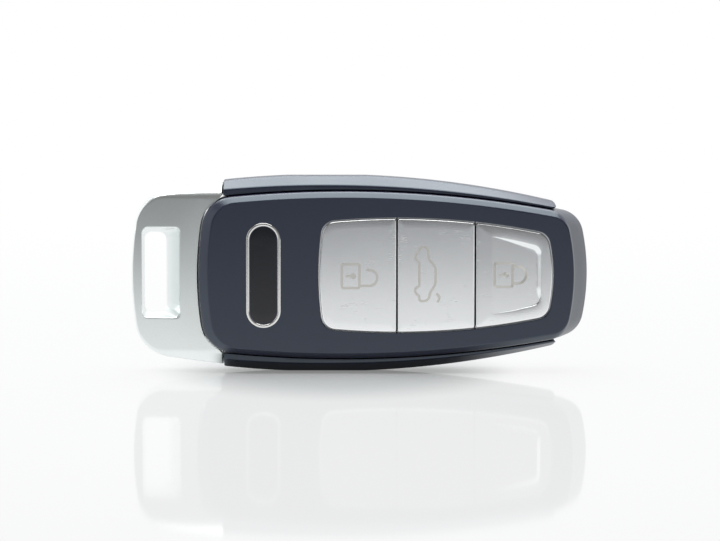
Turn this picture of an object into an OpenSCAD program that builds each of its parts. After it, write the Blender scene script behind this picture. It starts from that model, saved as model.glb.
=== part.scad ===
// Car key fob with a slide-out emergency key, standing on one long edge.
// Each piece is drawn lying flat: x runs from the key-ring loop to the tip,
// y across the width, z towards the button face. stand() then sets it upright.

/* [Overall] */
// Length from the loop end to the tip
fob_length = 82; // [80:0.5:90]
// Width over the two side rails
fob_width = 35.3; // [35:0.1:38]
// Thickness from the button face to the back
fob_thickness = 15; // [15:0.1:18]

/* [Housing] */
// Length of the loop head, from its end to the housing
head_length = 12.1; // [11.5:0.1:13]
// Wall of the front shell and the rear cover
wall = 1.5; // [1.3:0.05:1.7]
// Width of the chamfer round the button face, on the long sides
face_chamfer = 1.0; // [0.6:0.1:1.4]
// Height of that chamfer
chamfer_height = 1.1; // [0.8:0.1:1.3]
// How far the tip end leans back from the belt line to the chamfer
tip_lean = 1.1; // [0.8:0.1:1.5]
// Radius of the long sides of the housing
side_radius = 210; // [180:5:260]
// Radius of the two corners at the tip
tip_corner = 4.7; // [4:0.1:5.5]
// Radius of the two corners at the loop end
tail_corner = 6; // [4:0.1:7]

/* [Side rails] */
// Where the rails start, measured from the housing's loop end
rail_start = 4.5; // [4:0.1:6]
// Distance from the tip of a rail to the tip of the fob
rail_tip = 5.8; // [5:0.1:9]
// How far a rail stands out of the housing at its widest
rail_depth = 2.45; // [2.2:0.05:2.8]
// Half of a rail's height, from the middle to its front strip
rail_half = 4.9; // [4.4:0.1:5.4]
// Width of the flat on the outer ridge that the fob stands on
ridge_flat = 3.2; // [2.4:0.2:5]
// Length of the straight stretch of that ridge
foot_length = 14; // [10:1:20]
// How far the sloped side leans in from the ridge to the front strip
rail_slope = 1.6; // [1.2:0.1:1.9]
// Radius of a rail's outer curve
rail_radius = 176; // [170:2:220]

/* [Buttons] */
// Length of each button cap along the fob
cap_length = 13.6; // [12.5:0.1:14]
// Gap between two caps
cap_gap = 0.36; // [0.3:0.02:0.6]
// Distance from the sides of the caps to the outside of the rails, at the widest place
cap_side_margin = 7.55; // [7.2:0.05:8.5]
// Distance from the last cap to the tip of the fob
cap_margin = 6.6; // [6:0.1:9]
// How far the caps stand out of the face
cap_proud = 0.15; // [0:0.05:0.4]
// Clearance round the caps in the face
window_gap = 0.25; // [0.2:0.05:0.4]
// Travel of a button
button_travel = 0.35; // [0.2:0.05:0.4]
// Depth of the thumb dish in the last cap
dish_depth = 0.55; // [0.3:0.05:0.8]

/* [Badge] */
// Width of the badge inlay along the fob
badge_width = 6.2; // [5:0.1:7]
// Height of the badge inlay across the fob
badge_height = 18.8; // [14:0.2:20]
// Width of the bright rim round the inlay
badge_rim_width = 0.6; // [0.4:0.05:1]

/* [Key-ring loop] */
// Width of the slot that takes the key ring
slot_width = 4.3; // [4.2:0.1:4.6]
// Length of that slot across the fob
slot_length = 14.5; // [12:0.1:16]
// Bar of metal left outside the slot
loop_bar = 1.7; // [1.5:0.1:2]
// Half of the loop head's height where it meets the housing
head_half = 5.4; // [5:0.1:5.8]

/* [Emergency key] */
// Length of the blade outside the head's tongue
blade_length = 40; // [30:1:44]
// Width of the blade
blade_width = 7.8; // [6.5:0.1:8]
// Thickness of the blade
blade_thickness = 2.2; // [2:0.05:2.3]
// Length of the tongue that carries the blade
tongue_length = 9.5; // [9:0.1:11]
// Travel of the release button on the back
release_travel = 1.2; // [1.1:0.05:1.3]

/* [Electronics] */
// Diameter of the coin cell
cell_diameter = 20; // [16:0.5:20]
// Thickness of the coin cell
cell_height = 3.2; // [2.5:0.1:3.2]
// Thickness of the circuit board
board_thickness = 0.8; // [0.6:0.1:0.8]
// Side of a switch body
switch_side = 5; // [4:0.1:6]
// Height of a switch body
switch_height = 1.5; // [1.2:0.1:1.6]

/* [Hidden] */
$fn = 48;

// Clearances
slide_gap = 0.15;
seat_gap = 0.05;
head_gap = 0.2;
rail_gap = 0.5;
latch_gap = 0.3;
lap = 1;

// Plan of the housing
tip_x = fob_length / 2;
loop_x = -fob_length / 2;
tail_x = loop_x + head_length;
rail_apex_x = -6;
belt_apex_x = -3;
rail_half_width = fob_width / 2;
belt_half_width = rail_half_width - rail_depth - seat_gap;
side_lean = 0.25;
tail_lean = 0.1;
tip_radius = 38;
tail_radius = 60;
tail_chamfer = 1.7;
tip_chamfer = 1.7;
back_chamfer = 1.9;
back_edge_side = 0.7;
back_edge_end = 0.5;

// Side rails and the tenons that hold them in the shell
strip_radius = 214;
strip_fall = 0.06;
rail_tip_fall = 1.2;
rail_tip_share = 0.62;
tenon_xs = [rail_apex_x - 10, rail_apex_x + 8, rail_apex_x + 26];
tenon_half = 0.7;
tenon_z = 1.8;

// Levels of the housing
face_z = fob_thickness / 2;
back_z = -face_z;
chamfer_z = face_z - chamfer_height;
ceiling_z = face_z - wall;
floor_z = back_z + wall;
parting_z = -0.5;
back_edge_z = back_z + 0.9 * chamfer_height;

// Levels inside, from the button face down
cap_top_z = face_z + cap_proud;
flange_thickness = 0.7;
flange_gap = 0.1;
flange_z = ceiling_z - flange_gap;
cap_foot_z = flange_z - flange_thickness;
mat_pad = 0.3;
mat_web = 0.5;
mat_z = cap_foot_z - mat_pad - mat_web;
plunger_rise = button_travel + 0.05;
switch_top_z = mat_z - plunger_rise;
board_top_z = switch_top_z - switch_height;
board_z = board_top_z - board_thickness;
carrier_roof = 0.9;
carrier_floor = 0.65;
channel_top_z = board_z - carrier_roof;
blade_top_z = channel_top_z - slide_gap;
blade_z = blade_top_z - blade_thickness;
channel_z = blade_z - slide_gap;
cell_top_z = channel_z - carrier_floor - seat_gap;
cell_z = cell_top_z - cell_height;
carrier_z = floor_z + slide_gap;

// Buttons
cap_end_x = tip_x - cap_margin;
cap_width = fob_width - 2 * cap_side_margin;
cap_pitch = cap_length + cap_gap;
cap_start_x = cap_end_x - 3 * cap_length - 2 * cap_gap;
cap_mid_x = cap_start_x + cap_pitch + cap_length / 2;
cap_apex_shift = 7;
cap_apex_x = cap_mid_x - cap_apex_shift;
cap_side_radius = 130;
cap_end_radius = 28;
cap_end_corner = 2.5;
cap_tail_radius = 60;
cap_tail_corner = 2.5;
cap_edge = 0.35;
cap_edge_drop = 0.3;
cap_skin = 1.1;
flange_reach = 0.7;
mat_margin = flange_reach + 0.2;
mat_skirt = 0.8;
straight_end = 3000;
dish_lip = 2.2;
dish_length = 10.1;
dish_margin = 2;
dish_taper_length = 24;
dish_side_radius = 91;
dish_end_radius = 200;
dish_corner = 1.2;

// Badge
badge_x = (tail_x + tail_chamfer + cap_start_x) / 2;
badge_recess = 0.6;
badge_proud = 0.05;
badge_rim_proud = 0.12;
badge_floor_z = face_z - badge_recess;

// Latch, blade and tongue
tongue_half = 4.5;
tongue_wall = 0.55;
tongue_z = blade_z - tongue_wall;
tongue_top_z = blade_top_z + tongue_wall;
tongue_end_x = tail_x + tongue_length;
ear_reach = 1.1;
ear_length = 1.6;
ear_height = release_travel - 0.2;
ear_z = blade_z + 0.2;
ear_end_x = tongue_end_x - 1.2;
ear_start_x = ear_end_x - ear_length;
nose_length = 1.6;
nose_end_x = ear_start_x - slide_gap;
nose_start_x = nose_end_x - nose_length;
leg_inner = tongue_half + ear_reach + latch_gap;
leg_thickness = 0.8;
leg_outer = leg_inner + leg_thickness;
leg_length = 3.2;
yoke_thickness = 0.8;
release_x = nose_start_x + leg_length / 2;
release_length = 7;
release_width = 9;
release_corner = 1.5;
release_flange = 0.8;
release_face_z = back_z + 0.1;
release_flange_z = floor_z + flange_gap;
yoke_z = release_flange_z + release_flange;
pocket_half = leg_outer + latch_gap;
release_lip = 0.5;
release_lip_side = 0.8;
pocket_end_x = release_x + release_length / 2 + release_lip + latch_gap;
shelf_top_z = tongue_z - 0.25;
shelf_z = shelf_top_z - 0.6;
spring_radius = 1.9;
spring_wire = 0.36;
spring_bore = spring_radius + 0.5;
spring_seat_z = release_face_z + 0.8;
grip_pitch = 1.6;
grip_half = 0.4;
grip_depth = 0.3;
grip_margin = 1.2;
yoke_margin = 0.9;
spring_turns = 3.5;
pin_x = tail_x + 4;
pin_radius = 1;
blade_end_x = tongue_end_x + blade_length;
tang_length = tongue_length - 2;

// Board and switches
channel_end = 0.8;
board_peg_x = cap_start_x - 4.4;
board_peg_y = 9.4;
board_peg_radius = 0.8;
board_peg_rise = 0.5;
plunger_radius = 1.2;
switch_floor = 0.3;
plunger_foot = 0.4;
cap_post = 2;
mat_pad_radius = 2.6;

// Coin cell and contacts
cell_x = cap_mid_x;
cell_radius = cell_diameter / 2;
contact_thickness = 0.4;
contact_width = 5;
contact_bearing = 45;
leaf_y = blade_width / 2 + slide_gap + 1;
leaf_z = cell_top_z + seat_gap;
leaf_reach = 3.6;

// Loop head
head_step = 0.3;
head_radius = 60;
head_corner = 7;
crown_start = 7;
crown_step = 2.5;
slot_x = loop_x + loop_bar;
slot_bevel = 2.6;
slot_bevel_side = 1.0;
slot_corner = 1;

STEEL = [0.72, 0.72, 0.70];
SATIN = [0.78, 0.78, 0.76];
NAVY = [0.20, 0.22, 0.27];
DARK = [0.13, 0.14, 0.16];
BLACK = [0.07, 0.07, 0.08];
GREEN = [0.10, 0.30, 0.20];
COPPER = [0.72, 0.42, 0.25];

// Where two circles cross: the crossing to the right (side 1) or left (side -1) of the line p to q
function crossing(p, a, q, b, side) =
    let (
        d = norm(q - p),
        u = (q - p) / d,
        k = (a * a - b * b + d * d) / (2 * d),
        h = sqrt(a * a - k * k)
    )
    p + k * u + side * h * [u.y, -u.x];

function bearing(v) = atan2(v.y, v.x);

function arc(centre, r, from, to, steps, first = 0) =
    [for (i = [first:steps]) centre + r * [
        cos(from + (to - from) * i / steps), sin(from + (to - from) * i / steps)]];

function flipped(points) =
    [for (i = [len(points) - 2:-1:1]) [points[i].x, -points[i].y]];

// Closed plan of a bar with bowed sides and ends and rounded corners
function bar(right, left, half, apex, side_r, end_r, end_c, tail_r, tail_c) =
    let (
        s = [apex, half - side_r],
        e = [right - end_r, 0],
        t = [left + tail_r, 0],
        c = crossing(s, side_r - end_c, e, end_r - end_c, 1),
        g = crossing(s, side_r - tail_c, t, tail_r - tail_c, -1),
        upper = concat(
            arc(e, end_r, 0, bearing(c - e), 4),
            arc(c, end_c, bearing(c - e), bearing(c - s), 6, 1),
            arc(s, side_r, bearing(c - s), bearing(g - s), 14, 1),
            arc(g, tail_c, bearing(g - s), bearing(g - t), 6, 1),
            arc(t, tail_r, bearing(g - t), 180, 4, 1))
    )
    concat(upper, flipped(upper));

// Housing plan, drawn in by its own amount at the sides, the tip and the loop end
function housing(side, tip, tail) = bar(
    tip_x - tip, tail_x + tail, belt_half_width - side, belt_apex_x, side_radius - side,
    tip_radius, max(tip_corner - side, 1), tail_radius, max(tail_corner - side, 1));

function cavity(inset = 0) =
    housing(side_lean + wall + inset, tip_lean + wall + inset, tail_lean + wall + inset);

// Plan of the whole row of caps, grown outwards by the amount given
function cap_row(grow) = bar(
    cap_end_x + grow, cap_start_x - grow, cap_width / 2 + grow, cap_apex_x, cap_side_radius + grow,
    cap_end_radius, cap_end_corner + grow, cap_tail_radius, cap_tail_corner + grow);

// Plan of one cap: 0 next to the badge, 2 at the tip
function cap_plan(i, inset, reach = 0) =
    let (
        small = 0.5,
        first = cap_start_x + i * cap_pitch
    )
    bar(
        first + cap_length - inset + (i == 2 ? reach : 0),
        first + inset - (i == 0 ? reach : 0),
        cap_width / 2 - inset + reach, cap_apex_x, cap_side_radius - inset + reach,
        i == 2 ? cap_end_radius : straight_end,
        i == 2 ? cap_end_corner - inset + reach : small,
        i == 0 ? cap_tail_radius : straight_end,
        i == 0 ? cap_tail_corner - inset + reach : small);

function cap_centre_x(i) = cap_start_x + i * cap_pitch + cap_length / 2;

// Solid through a row of rings of points
module sweep(rings) {
    n = len(rings[0]);
    last = len(rings) - 1;
    sides = [for (k = [0:last - 1]) for (i = [0:n - 1]) let (j = (i + 1) % n)
        each [[k * n + i, (k + 1) * n + j, k * n + j], [k * n + i, (k + 1) * n + i, (k + 1) * n + j]]];
    polyhedron(
        [for (ring = rings) each ring],
        concat([[for (i = [0:n - 1]) i]], sides, [[for (i = [n - 1:-1:0]) last * n + i]]),
        convexity = 6);
}

// Solid through a stack of plans, each given as [z, points], from the lowest up
module loft(layers) {
    sweep([for (layer = layers) [for (p = layer[1]) [p.x, p.y, layer[0]]]]);
}

module prism(points, from, to) {
    translate([0, 0, from]) linear_extrude(to - from) polygon(points);
}

module box(x0, x1, y0, y1, z0, z1) {
    translate([x0, y0, z0]) cube([x1 - x0, y1 - y0, z1 - z0]);
}

// Plate with rounded corners, centred on y = 0
module pad(x0, x1, half, r, z0, z1) {
    translate([0, 0, z0]) linear_extrude(z1 - z0) {
        translate([x0 + r, -half]) square([x1 - x0 - 2 * r, 2 * half]);
        translate([x0, -half + r]) square([x1 - x0, 2 * half - 2 * r]);
        for (x = [x0 + r, x1 - r], y = [-half + r, half - r]) translate([x, y]) circle(r);
    }
}

// Upright, with the lower rail's ridge on the ground
module stand() {
    translate([0, 0, rail_half_width]) rotate([90, 0, 0]) children();
}

module front_shell() {
    color(NAVY) stand() difference() {
        loft([
            [parting_z, housing(0, 0, 0)],
            [0, housing(0, 0, 0)],
            [chamfer_z / 2, housing(0.3 * side_lean, 0.3 * tip_lean, 0.3 * tail_lean)],
            [chamfer_z, housing(side_lean, tip_lean, tail_lean)],
            [face_z, housing(
                side_lean + face_chamfer, tip_lean + tip_chamfer, tail_lean + tail_chamfer)]
        ]);
        prism(cavity(), parting_z - lap, ceiling_z);
        prism(cap_row(window_gap), ceiling_z - lap, face_z + lap);
        badge_shape(seat_gap, badge_floor_z, face_z + lap);
        tongue_way();
        tenon_holes();
    }
}

// The way for the tongue and its ears through the housing's end walls
module tongue_way() {
    half = tongue_half + ear_reach + latch_gap;
    box(tail_x - lap, tail_x + 2 * wall, -half, half, tongue_z - latch_gap, tongue_top_z + latch_gap);
}

function belt_y(x) =
    belt_half_width - side_radius + sqrt(side_radius * side_radius - pow(x - belt_apex_x, 2));

// Block that reaches from inside a rail through the wall of the shell
module tenon(x, side, half, reach) {
    inner = side * (belt_y(x) - reach);
    outer = side * (belt_y(x) + lap);
    box(x - half, x + half, min(inner, outer), max(inner, outer), tenon_z - half, tenon_z + half);
}

module tenon_holes() {
    for (x = tenon_xs, side = [-1, 1]) tenon(x, side, tenon_half + seat_gap, 3 * wall);
}

module rear_cover() {
    color(NAVY) stand() difference() {
        union() {
            difference() {
                loft([
                    [back_z, housing(side_lean + back_chamfer, tip_lean + back_chamfer, back_chamfer)],
                    [back_edge_z, housing(
                        side_lean + back_edge_side, tip_lean + back_edge_end, slide_gap + back_edge_end)],
                    [-rail_half - latch_gap, housing(side_lean, 0.8 * tip_lean, slide_gap + tail_lean)],
                    [-rail_half / 2, housing(slide_gap, 0.3 * tip_lean, slide_gap)],
                    [parting_z - slide_gap, housing(slide_gap, 0, slide_gap)]
                ]);
                prism(cavity(), floor_z, parting_z + lap);
            }
            cell_ring();
        }
        pad(release_x - release_length / 2 - window_gap, release_x + release_length / 2 + window_gap,
            release_width / 2 + window_gap, release_corner + window_gap, back_z - lap, floor_z + lap);
        tongue_way();
    }
}

// Rib in the cover that keeps the cell in its pocket
module cell_ring() {
    ring_radius = 0.8 * cell_radius;
    ring_wall = 0.8;
    translate([cell_x, 0, floor_z - seat_gap]) difference() {
        cylinder(r = ring_radius, h = cell_z - floor_z - seat_gap);
        translate([0, 0, -lap]) cylinder(r = ring_radius - ring_wall, h = cell_z - floor_z + 2 * lap);
    }
}

module carrier_frame() {
    color(BLACK) stand() {
        difference() {
            prism(cavity(slide_gap), carrier_z, board_z);
            box(tail_x, pocket_end_x, -pocket_half, pocket_half, carrier_z - lap, board_z + lap);
            box(pocket_end_x - lap, blade_end_x + channel_end, -blade_width / 2 - slide_gap,
                blade_width / 2 + slide_gap, channel_z, channel_top_z);
            translate([cell_x, 0, carrier_z - lap])
                cylinder(r = cell_radius + slide_gap, h = cell_top_z + seat_gap - carrier_z + lap);
            contact_ways();
            carrier_pockets();
        }
        box(tail_x + wall + tail_lean + slide_gap, pocket_end_x + lap, -tongue_half, tongue_half,
            shelf_z, shelf_top_z);
        for (side = [-1, 1]) translate([board_peg_x, side * board_peg_y, board_z - seat_gap])
            cylinder(r = board_peg_radius, h = board_thickness + seat_gap + board_peg_rise);
    }
}

// Hollows that keep the moulding's walls even
module carrier_pockets() {
    rib = 1.2;
    tip_half = cap_width / 2 - 4;
    left = pocket_end_x + rib;
    right = cell_x - cell_radius - slide_gap - rib;
    inner = blade_width / 2 + slide_gap + rib;
    for (side = [0, 1]) mirror([0, side, 0])
        box(left, right, inner, belt_y(left) - side_lean - 2 * wall - rib, carrier_z - lap, board_z - rib);
    box(cell_x + cell_radius + slide_gap + rib, tip_x - tip_lean - 3 * wall - rib,
        -tip_half, tip_half, carrier_z - lap, board_z - rib);
}

// Room in the carrier for the two battery contacts
module contact_ways() {
    half = contact_width / 2 + slide_gap;
    rim_plate(half, -lap, contact_thickness + slide_gap, carrier_z - lap, board_z + lap);
    box(cell_x - half, cell_x + half, -leaf_y - contact_thickness - slide_gap, -leaf_y + slide_gap,
        leaf_z - slide_gap, board_z + lap);
    box(cell_x - half, cell_x + half, -leaf_y - leaf_reach - slide_gap, -leaf_y + slide_gap,
        cell_top_z - seat_gap, leaf_z + contact_thickness + slide_gap);
}

// Plate against the rim of the cell, beside the blade's way
module rim_plate(half, from, to, z0, z1) {
    rim = cell_radius + seat_gap;
    translate([cell_x, 0, 0]) rotate(contact_bearing) box(rim + from, rim + to, -half, half, z0, z1);
}

module positive_contact() {
    color(STEEL) stand()
        rim_plate(contact_width / 2, 0, contact_thickness, cell_z + 2 * slide_gap, board_z);
}

module negative_contact() {
    color(STEEL) stand() {
        box(cell_x - contact_width / 2, cell_x + contact_width / 2,
            -leaf_y - contact_thickness, -leaf_y, leaf_z, board_z);
        box(cell_x - contact_width / 2, cell_x + contact_width / 2,
            -leaf_y - leaf_reach, -leaf_y, leaf_z, leaf_z + contact_thickness);
    }
}

module coin_cell() {
    rim = 0.5;
    cap_step = 1.2;
    color(STEEL) stand() translate([cell_x, 0, cell_z]) rotate_extrude() polygon([
        [0, 0], [cell_radius - rim, 0], [cell_radius, rim], [cell_radius, cell_height - rim],
        [cell_radius - cap_step, cell_height - rim], [cell_radius - cap_step - rim, cell_height],
        [0, cell_height]
    ]);
}

// How far a rail's curve of the given radius has fallen away from its widest place
function rail_fall(x, radius) = radius - sqrt(radius * radius - pow(x - rail_apex_x, 2));

// The outer ridge, straight along the foot
function ridge_y(x) = rail_half_width - max(
    0, rail_fall(x, rail_radius) - rail_fall(rail_apex_x + foot_length / 2, rail_radius));

// Section of the upper (side 1) or lower (side -1) rail, narrowed about its middle by the squeeze
function rail_section(side, x, squeeze) =
    let (
        inner = belt_y(x) + seat_gap,
        middle = (inner + ridge_y(x)) / 2,
        top = rail_half - rail_tip_fall * (1 - squeeze),
        half = [
            [inner, top - strip_fall],
            [rail_half_width - rail_slope - rail_fall(x, strip_radius), top],
            [ridge_y(x), ridge_flat / 2]
        ],
        ring = concat([for (p = half) [p[0], -p[1]]], [for (i = [2:-1:0]) half[i]])
    )
    [for (i = [0:5]) let (p = ring[side > 0 ? i : 5 - i])
        [x, side * (middle + (p[0] - middle) * squeeze), p[1]]];

module rail(side) {
    from = tail_x + rail_start;
    to = tip_x - rail_tip;
    tip_length = rail_tip_share * (ridge_y(to) - belt_y(to));
    end = to - tip_length;
    steps = 22;
    sweep(concat(
        [for (i = [0:steps]) rail_section(side, from + (end - from) * i / steps, 1)],
        [for (a = [20:20:80]) rail_section(side, end + tip_length * sin(a), cos(a))]));
    for (x = tenon_xs) tenon(x, side, tenon_half, wall);
}

module upper_side_rail() {
    color(NAVY) stand() rail(1);
}

module lower_side_rail() {
    color(NAVY) stand() rail(-1);
}

// Long rounded shape of the badge
module badge_shape(grow, from, to) {
    r = badge_width / 2 + grow;
    reach = badge_height / 2 - badge_width / 2;
    translate([badge_x, 0, from]) linear_extrude(to - from) {
        translate([-r, -reach]) square([2 * r, 2 * reach]);
        for (y = [-reach, reach]) translate([0, y]) circle(r);
    }
}

module badge_plate() {
    color(BLACK) stand() badge_shape(-badge_rim_width - seat_gap, badge_floor_z, face_z + badge_proud);
}

module badge_rim() {
    color(SATIN) stand() difference() {
        badge_shape(0, badge_floor_z, face_z + badge_rim_proud);
        badge_shape(-badge_rim_width, badge_floor_z - lap, face_z + lap);
    }
}

module button_cap(i) {
    difference() {
        union() {
            loft([
                [cap_foot_z, cap_plan(i, 0)],
                [cap_top_z - cap_edge_drop, cap_plan(i, 0)],
                [cap_top_z - 0.3 * cap_edge_drop, cap_plan(i, 0.4 * cap_edge)],
                [cap_top_z, cap_plan(i, cap_edge)]
            ]);
            prism(cap_plan(i, 0, flange_reach), cap_foot_z, flange_z);
        }
        difference() {
            prism(cap_plan(i, cap_skin), cap_foot_z - lap, cap_top_z - cap_skin);
            translate([cap_centre_x(i), 0, cap_foot_z - lap])
                cylinder(r = cap_post, h = 3 * lap + cap_skin);
        }
        if (i == 2) thumb_dish();
    }
}

// Wedge-shaped hollow that deepens towards the tip and ends in a raised lip
module thumb_dish() {
    to = cap_end_x - dish_lip;
    from = to - dish_length;
    plan = bar(to, from - lap, cap_width / 2 - dish_margin, to - dish_taper_length, dish_side_radius,
        dish_end_radius, dish_corner, straight_end, dish_corner);
    translate([from, 0, cap_top_z]) rotate([0, atan(dish_depth / (to - from)), 0])
        translate([-from, 0, 0]) prism(plan, 0, 2);
}

module unlock_button_cap() {
    color(SATIN) stand() button_cap(0);
}

module boot_button_cap() {
    color(SATIN) stand() button_cap(1);
}

module lock_button_cap() {
    color(SATIN) stand() button_cap(2);
}

module button_mat() {
    color(DARK) stand() {
        difference() {
            prism(cap_row(mat_margin + mat_skirt), board_top_z, ceiling_z);
            prism(cap_row(mat_margin), board_top_z - lap, mat_z);
            prism(cap_row(mat_margin), mat_z + mat_web, ceiling_z + lap);
        }
        for (i = [0:2]) translate([cap_centre_x(i), 0, mat_z + mat_web - seat_gap])
            cylinder(r = mat_pad_radius, h = mat_pad + seat_gap);
    }
}

module circuit_board() {
    color(GREEN) stand() difference() {
        prism(cavity(2 * slide_gap), board_z, board_top_z);
        for (side = [-1, 1]) translate([board_peg_x, side * board_peg_y, board_z - lap])
            cylinder(r = board_peg_radius + seat_gap, h = board_thickness + 2 * lap);
    }
}

module switch_bodies() {
    half = switch_side / 2;
    color(DARK) stand() for (i = [0:2]) difference() {
        box(cap_centre_x(i) - half, cap_centre_x(i) + half, -half, half, board_top_z, switch_top_z);
        translate([cap_centre_x(i), 0, board_top_z + switch_floor])
            cylinder(r = plunger_radius + seat_gap, h = switch_height);
    }
}

module switch_plunger(i) {
    foot_z = board_top_z + plunger_foot + button_travel;
    translate([cap_centre_x(i), 0, foot_z]) cylinder(r = plunger_radius, h = mat_z - foot_z);
}

module unlock_switch_plunger() {
    color(STEEL) stand() switch_plunger(0);
}

module boot_switch_plunger() {
    color(STEEL) stand() switch_plunger(1);
}

module lock_switch_plunger() {
    color(STEEL) stand() switch_plunger(2);
}

// Block antenna behind the badge: a ferrite core wound about three axes
antenna_side = 9.4;
antenna_height = 2.6;
winding_depth = 0.5;
winding_width = 3.6;
antenna_x = (tail_x + tail_lean + wall + cap_start_x - mat_margin - mat_skirt) / 2;

module antenna_block(inset, trim) {
    half = antenna_side / 2;
    box(antenna_x - half + inset, antenna_x + half - inset, -half + inset, half - inset,
        board_top_z + trim, board_top_z + antenna_height - trim);
}

// The three bands where wire lies, cut out of or filled into the block
module antenna_bands() {
    half = antenna_side / 2 + lap;
    w = winding_width / 2;
    mid = board_top_z + antenna_height / 2;
    top = board_top_z + antenna_height + lap;
    box(antenna_x - half, antenna_x + half, -w, w, board_top_z - lap, top);
    box(antenna_x - w, antenna_x + w, -half, half, board_top_z - lap, top);
    box(antenna_x - half, antenna_x + half, -half, half, mid - 0.6, mid + 0.6);
}

module antenna_core() {
    color(DARK) stand() difference() {
        antenna_block(0, 0);
        difference() {
            antenna_bands();
            antenna_block(winding_depth, winding_depth);
        }
    }
}

module antenna_windings() {
    color(COPPER) stand() difference() {
        intersection() {
            antenna_bands();
            antenna_block(0, 0);
        }
        antenna_block(winding_depth, winding_depth);
    }
}

// Components between the switches, each by its place, its sides and its height
module chip(x, y, side_x, side_y, height) {
    box(x - side_x / 2, x + side_x / 2, y - side_y / 2, y + side_y / 2, board_top_z, board_top_z + height);
}

controller_side = 6;
controller_height = 0.9;
radio_side = 4.4;
radio_height = 0.8;
crystal_length = 3.2;
crystal_width = 2.5;
crystal_height = 0.7;
component_length = 1.6;
component_width = 0.8;
component_height = 0.5;
component_pitch = 2;
component_row = 2.4;
chip_offset = 2;

function between_caps(i) = cap_centre_x(i) + cap_pitch / 2;

module controller_chip() {
    color(BLACK) stand() chip(between_caps(0), -controller_side / 2 - chip_offset,
        controller_side, controller_side, controller_height);
}

module radio_chip() {
    color(BLACK) stand() chip(between_caps(1), radio_side / 2 + chip_offset,
        radio_side, radio_side, radio_height);
}

module crystal_can() {
    color(STEEL) stand() chip(between_caps(1), -crystal_width / 2 - chip_offset,
        crystal_length, crystal_width, crystal_height);
}

module component(x, y) {
    chip(x, y, component_width, component_length, component_height);
}

module board_components() {
    color([0.55, 0.45, 0.35]) stand() {
        for (i = [0:3], row = [1, 2])
            component(between_caps(0) + (i - 1.5) * component_pitch, row * component_row);
        for (i = [-1:1]) component(between_caps(1) + i * component_pitch, 0);
    }
}

// Plan of the loop head, drawn in at the sides and at the loop end
function head_plan(side, end) = bar(
    tip_x, loop_x + end, rail_half_width - head_step - side, rail_apex_x, rail_radius - side,
    head_radius, head_corner, head_radius, head_corner);

module loop_head() {
    color(SATIN) stand() {
        difference() {
            intersection() {
                loop_body();
                box(loop_x - lap, tail_x + rail_start - rail_gap, -fob_width, fob_width, -face_z, face_z);
            }
            prism(housing(-head_gap, 0, -head_gap), back_z - lap, face_z + lap);
            ring_slot();
        }
        tongue();
    }
}

// Pillow-shaped head, thinner towards the loop end
module loop_body() {
    h = head_half;
    upper = [
        [ridge_flat / 2, head_plan(0, 0)],
        [0.66 * h, head_plan(0.95, 1.3)],
        [0.9 * h, head_plan(1.7, crown_start)],
        [0.96 * h, head_plan(4.5, crown_start + crown_step)],
        [h, head_plan(8.5, crown_start + 2 * crown_step)]
    ];
    lower = [for (i = [len(upper) - 1:-1:0]) [-upper[i][0], upper[i][1]]];
    loft(concat(lower, upper));
}

// Thin slice of the slot, opened towards the loop end, the housing and the sides
module slot_level(end, inner, side, z) {
    pad(slot_x - end, slot_x + slot_width + inner, slot_length / 2 + side, slot_corner, z, z + 0.01);
}

module ring_slot() {
    pad(slot_x, slot_x + slot_width, slot_length / 2, slot_corner, back_z, face_z);
    for (side = [0, 1]) mirror([0, 0, side]) hull() {
        slot_level(0, 0, 0, 1);
        slot_level(0.1, slot_bevel, slot_bevel_side, head_half - 1);
        slot_level(0.15, slot_bevel + 0.7, slot_bevel_side + 0.3, face_z);
    }
}

module tongue() {
    difference() {
        union() {
            box(tail_x - head_gap - 0.5, tongue_end_x, -tongue_half, tongue_half, tongue_z, tongue_top_z);
            box(ear_start_x, ear_end_x, -tongue_half - ear_reach, tongue_half + ear_reach,
                ear_z, ear_z + ear_height);
        }
        box(tongue_end_x - tang_length - seat_gap, tongue_end_x + lap,
            -blade_width / 2 - seat_gap, blade_width / 2 + seat_gap,
            blade_z - seat_gap, blade_top_z + seat_gap);
        translate([pin_x, 0, tongue_z - lap])
            cylinder(r = pin_radius + 0.02, h = tongue_top_z - tongue_z + 2 * lap);
    }
}

groove_width = 2.4;
groove_depth = 0.6;

function groove_y(x) = 0.8 * sin(26 * (x - tongue_end_x)) + 0.5 * sin(61 * (x - tongue_end_x));

module emergency_blade() {
    half = blade_width / 2;
    nib = 1.2;
    start = tongue_end_x - tang_length;
    groove_x = tongue_end_x + 5;
    steps = 36;
    track = [for (i = [0:steps]) groove_x + (blade_end_x + lap - groove_x) * i / steps];
    track_plan = concat(
        [for (x = track) [x, groove_y(x) - groove_width / 2]],
        [for (i = [steps:-1:0]) [track[i], groove_y(track[i]) + groove_width / 2]]);
    color(STEEL) stand() difference() {
        prism([
            [start, -half], [blade_end_x - half + nib, -half], [blade_end_x, -nib], [blade_end_x, nib],
            [blade_end_x - half + nib, half], [start, half]
        ], blade_z, blade_top_z);
        prism(track_plan, blade_z - lap, blade_z + groove_depth);
        prism(track_plan, blade_top_z - groove_depth, blade_top_z + lap);
        translate([pin_x, 0, blade_z - lap])
            cylinder(r = pin_radius + 0.02, h = blade_thickness + 2 * lap);
    }
}

module blade_pin() {
    color(STEEL) stand() translate([pin_x, 0, tongue_z])
        cylinder(r = pin_radius, h = tongue_top_z - tongue_z);
}

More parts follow.
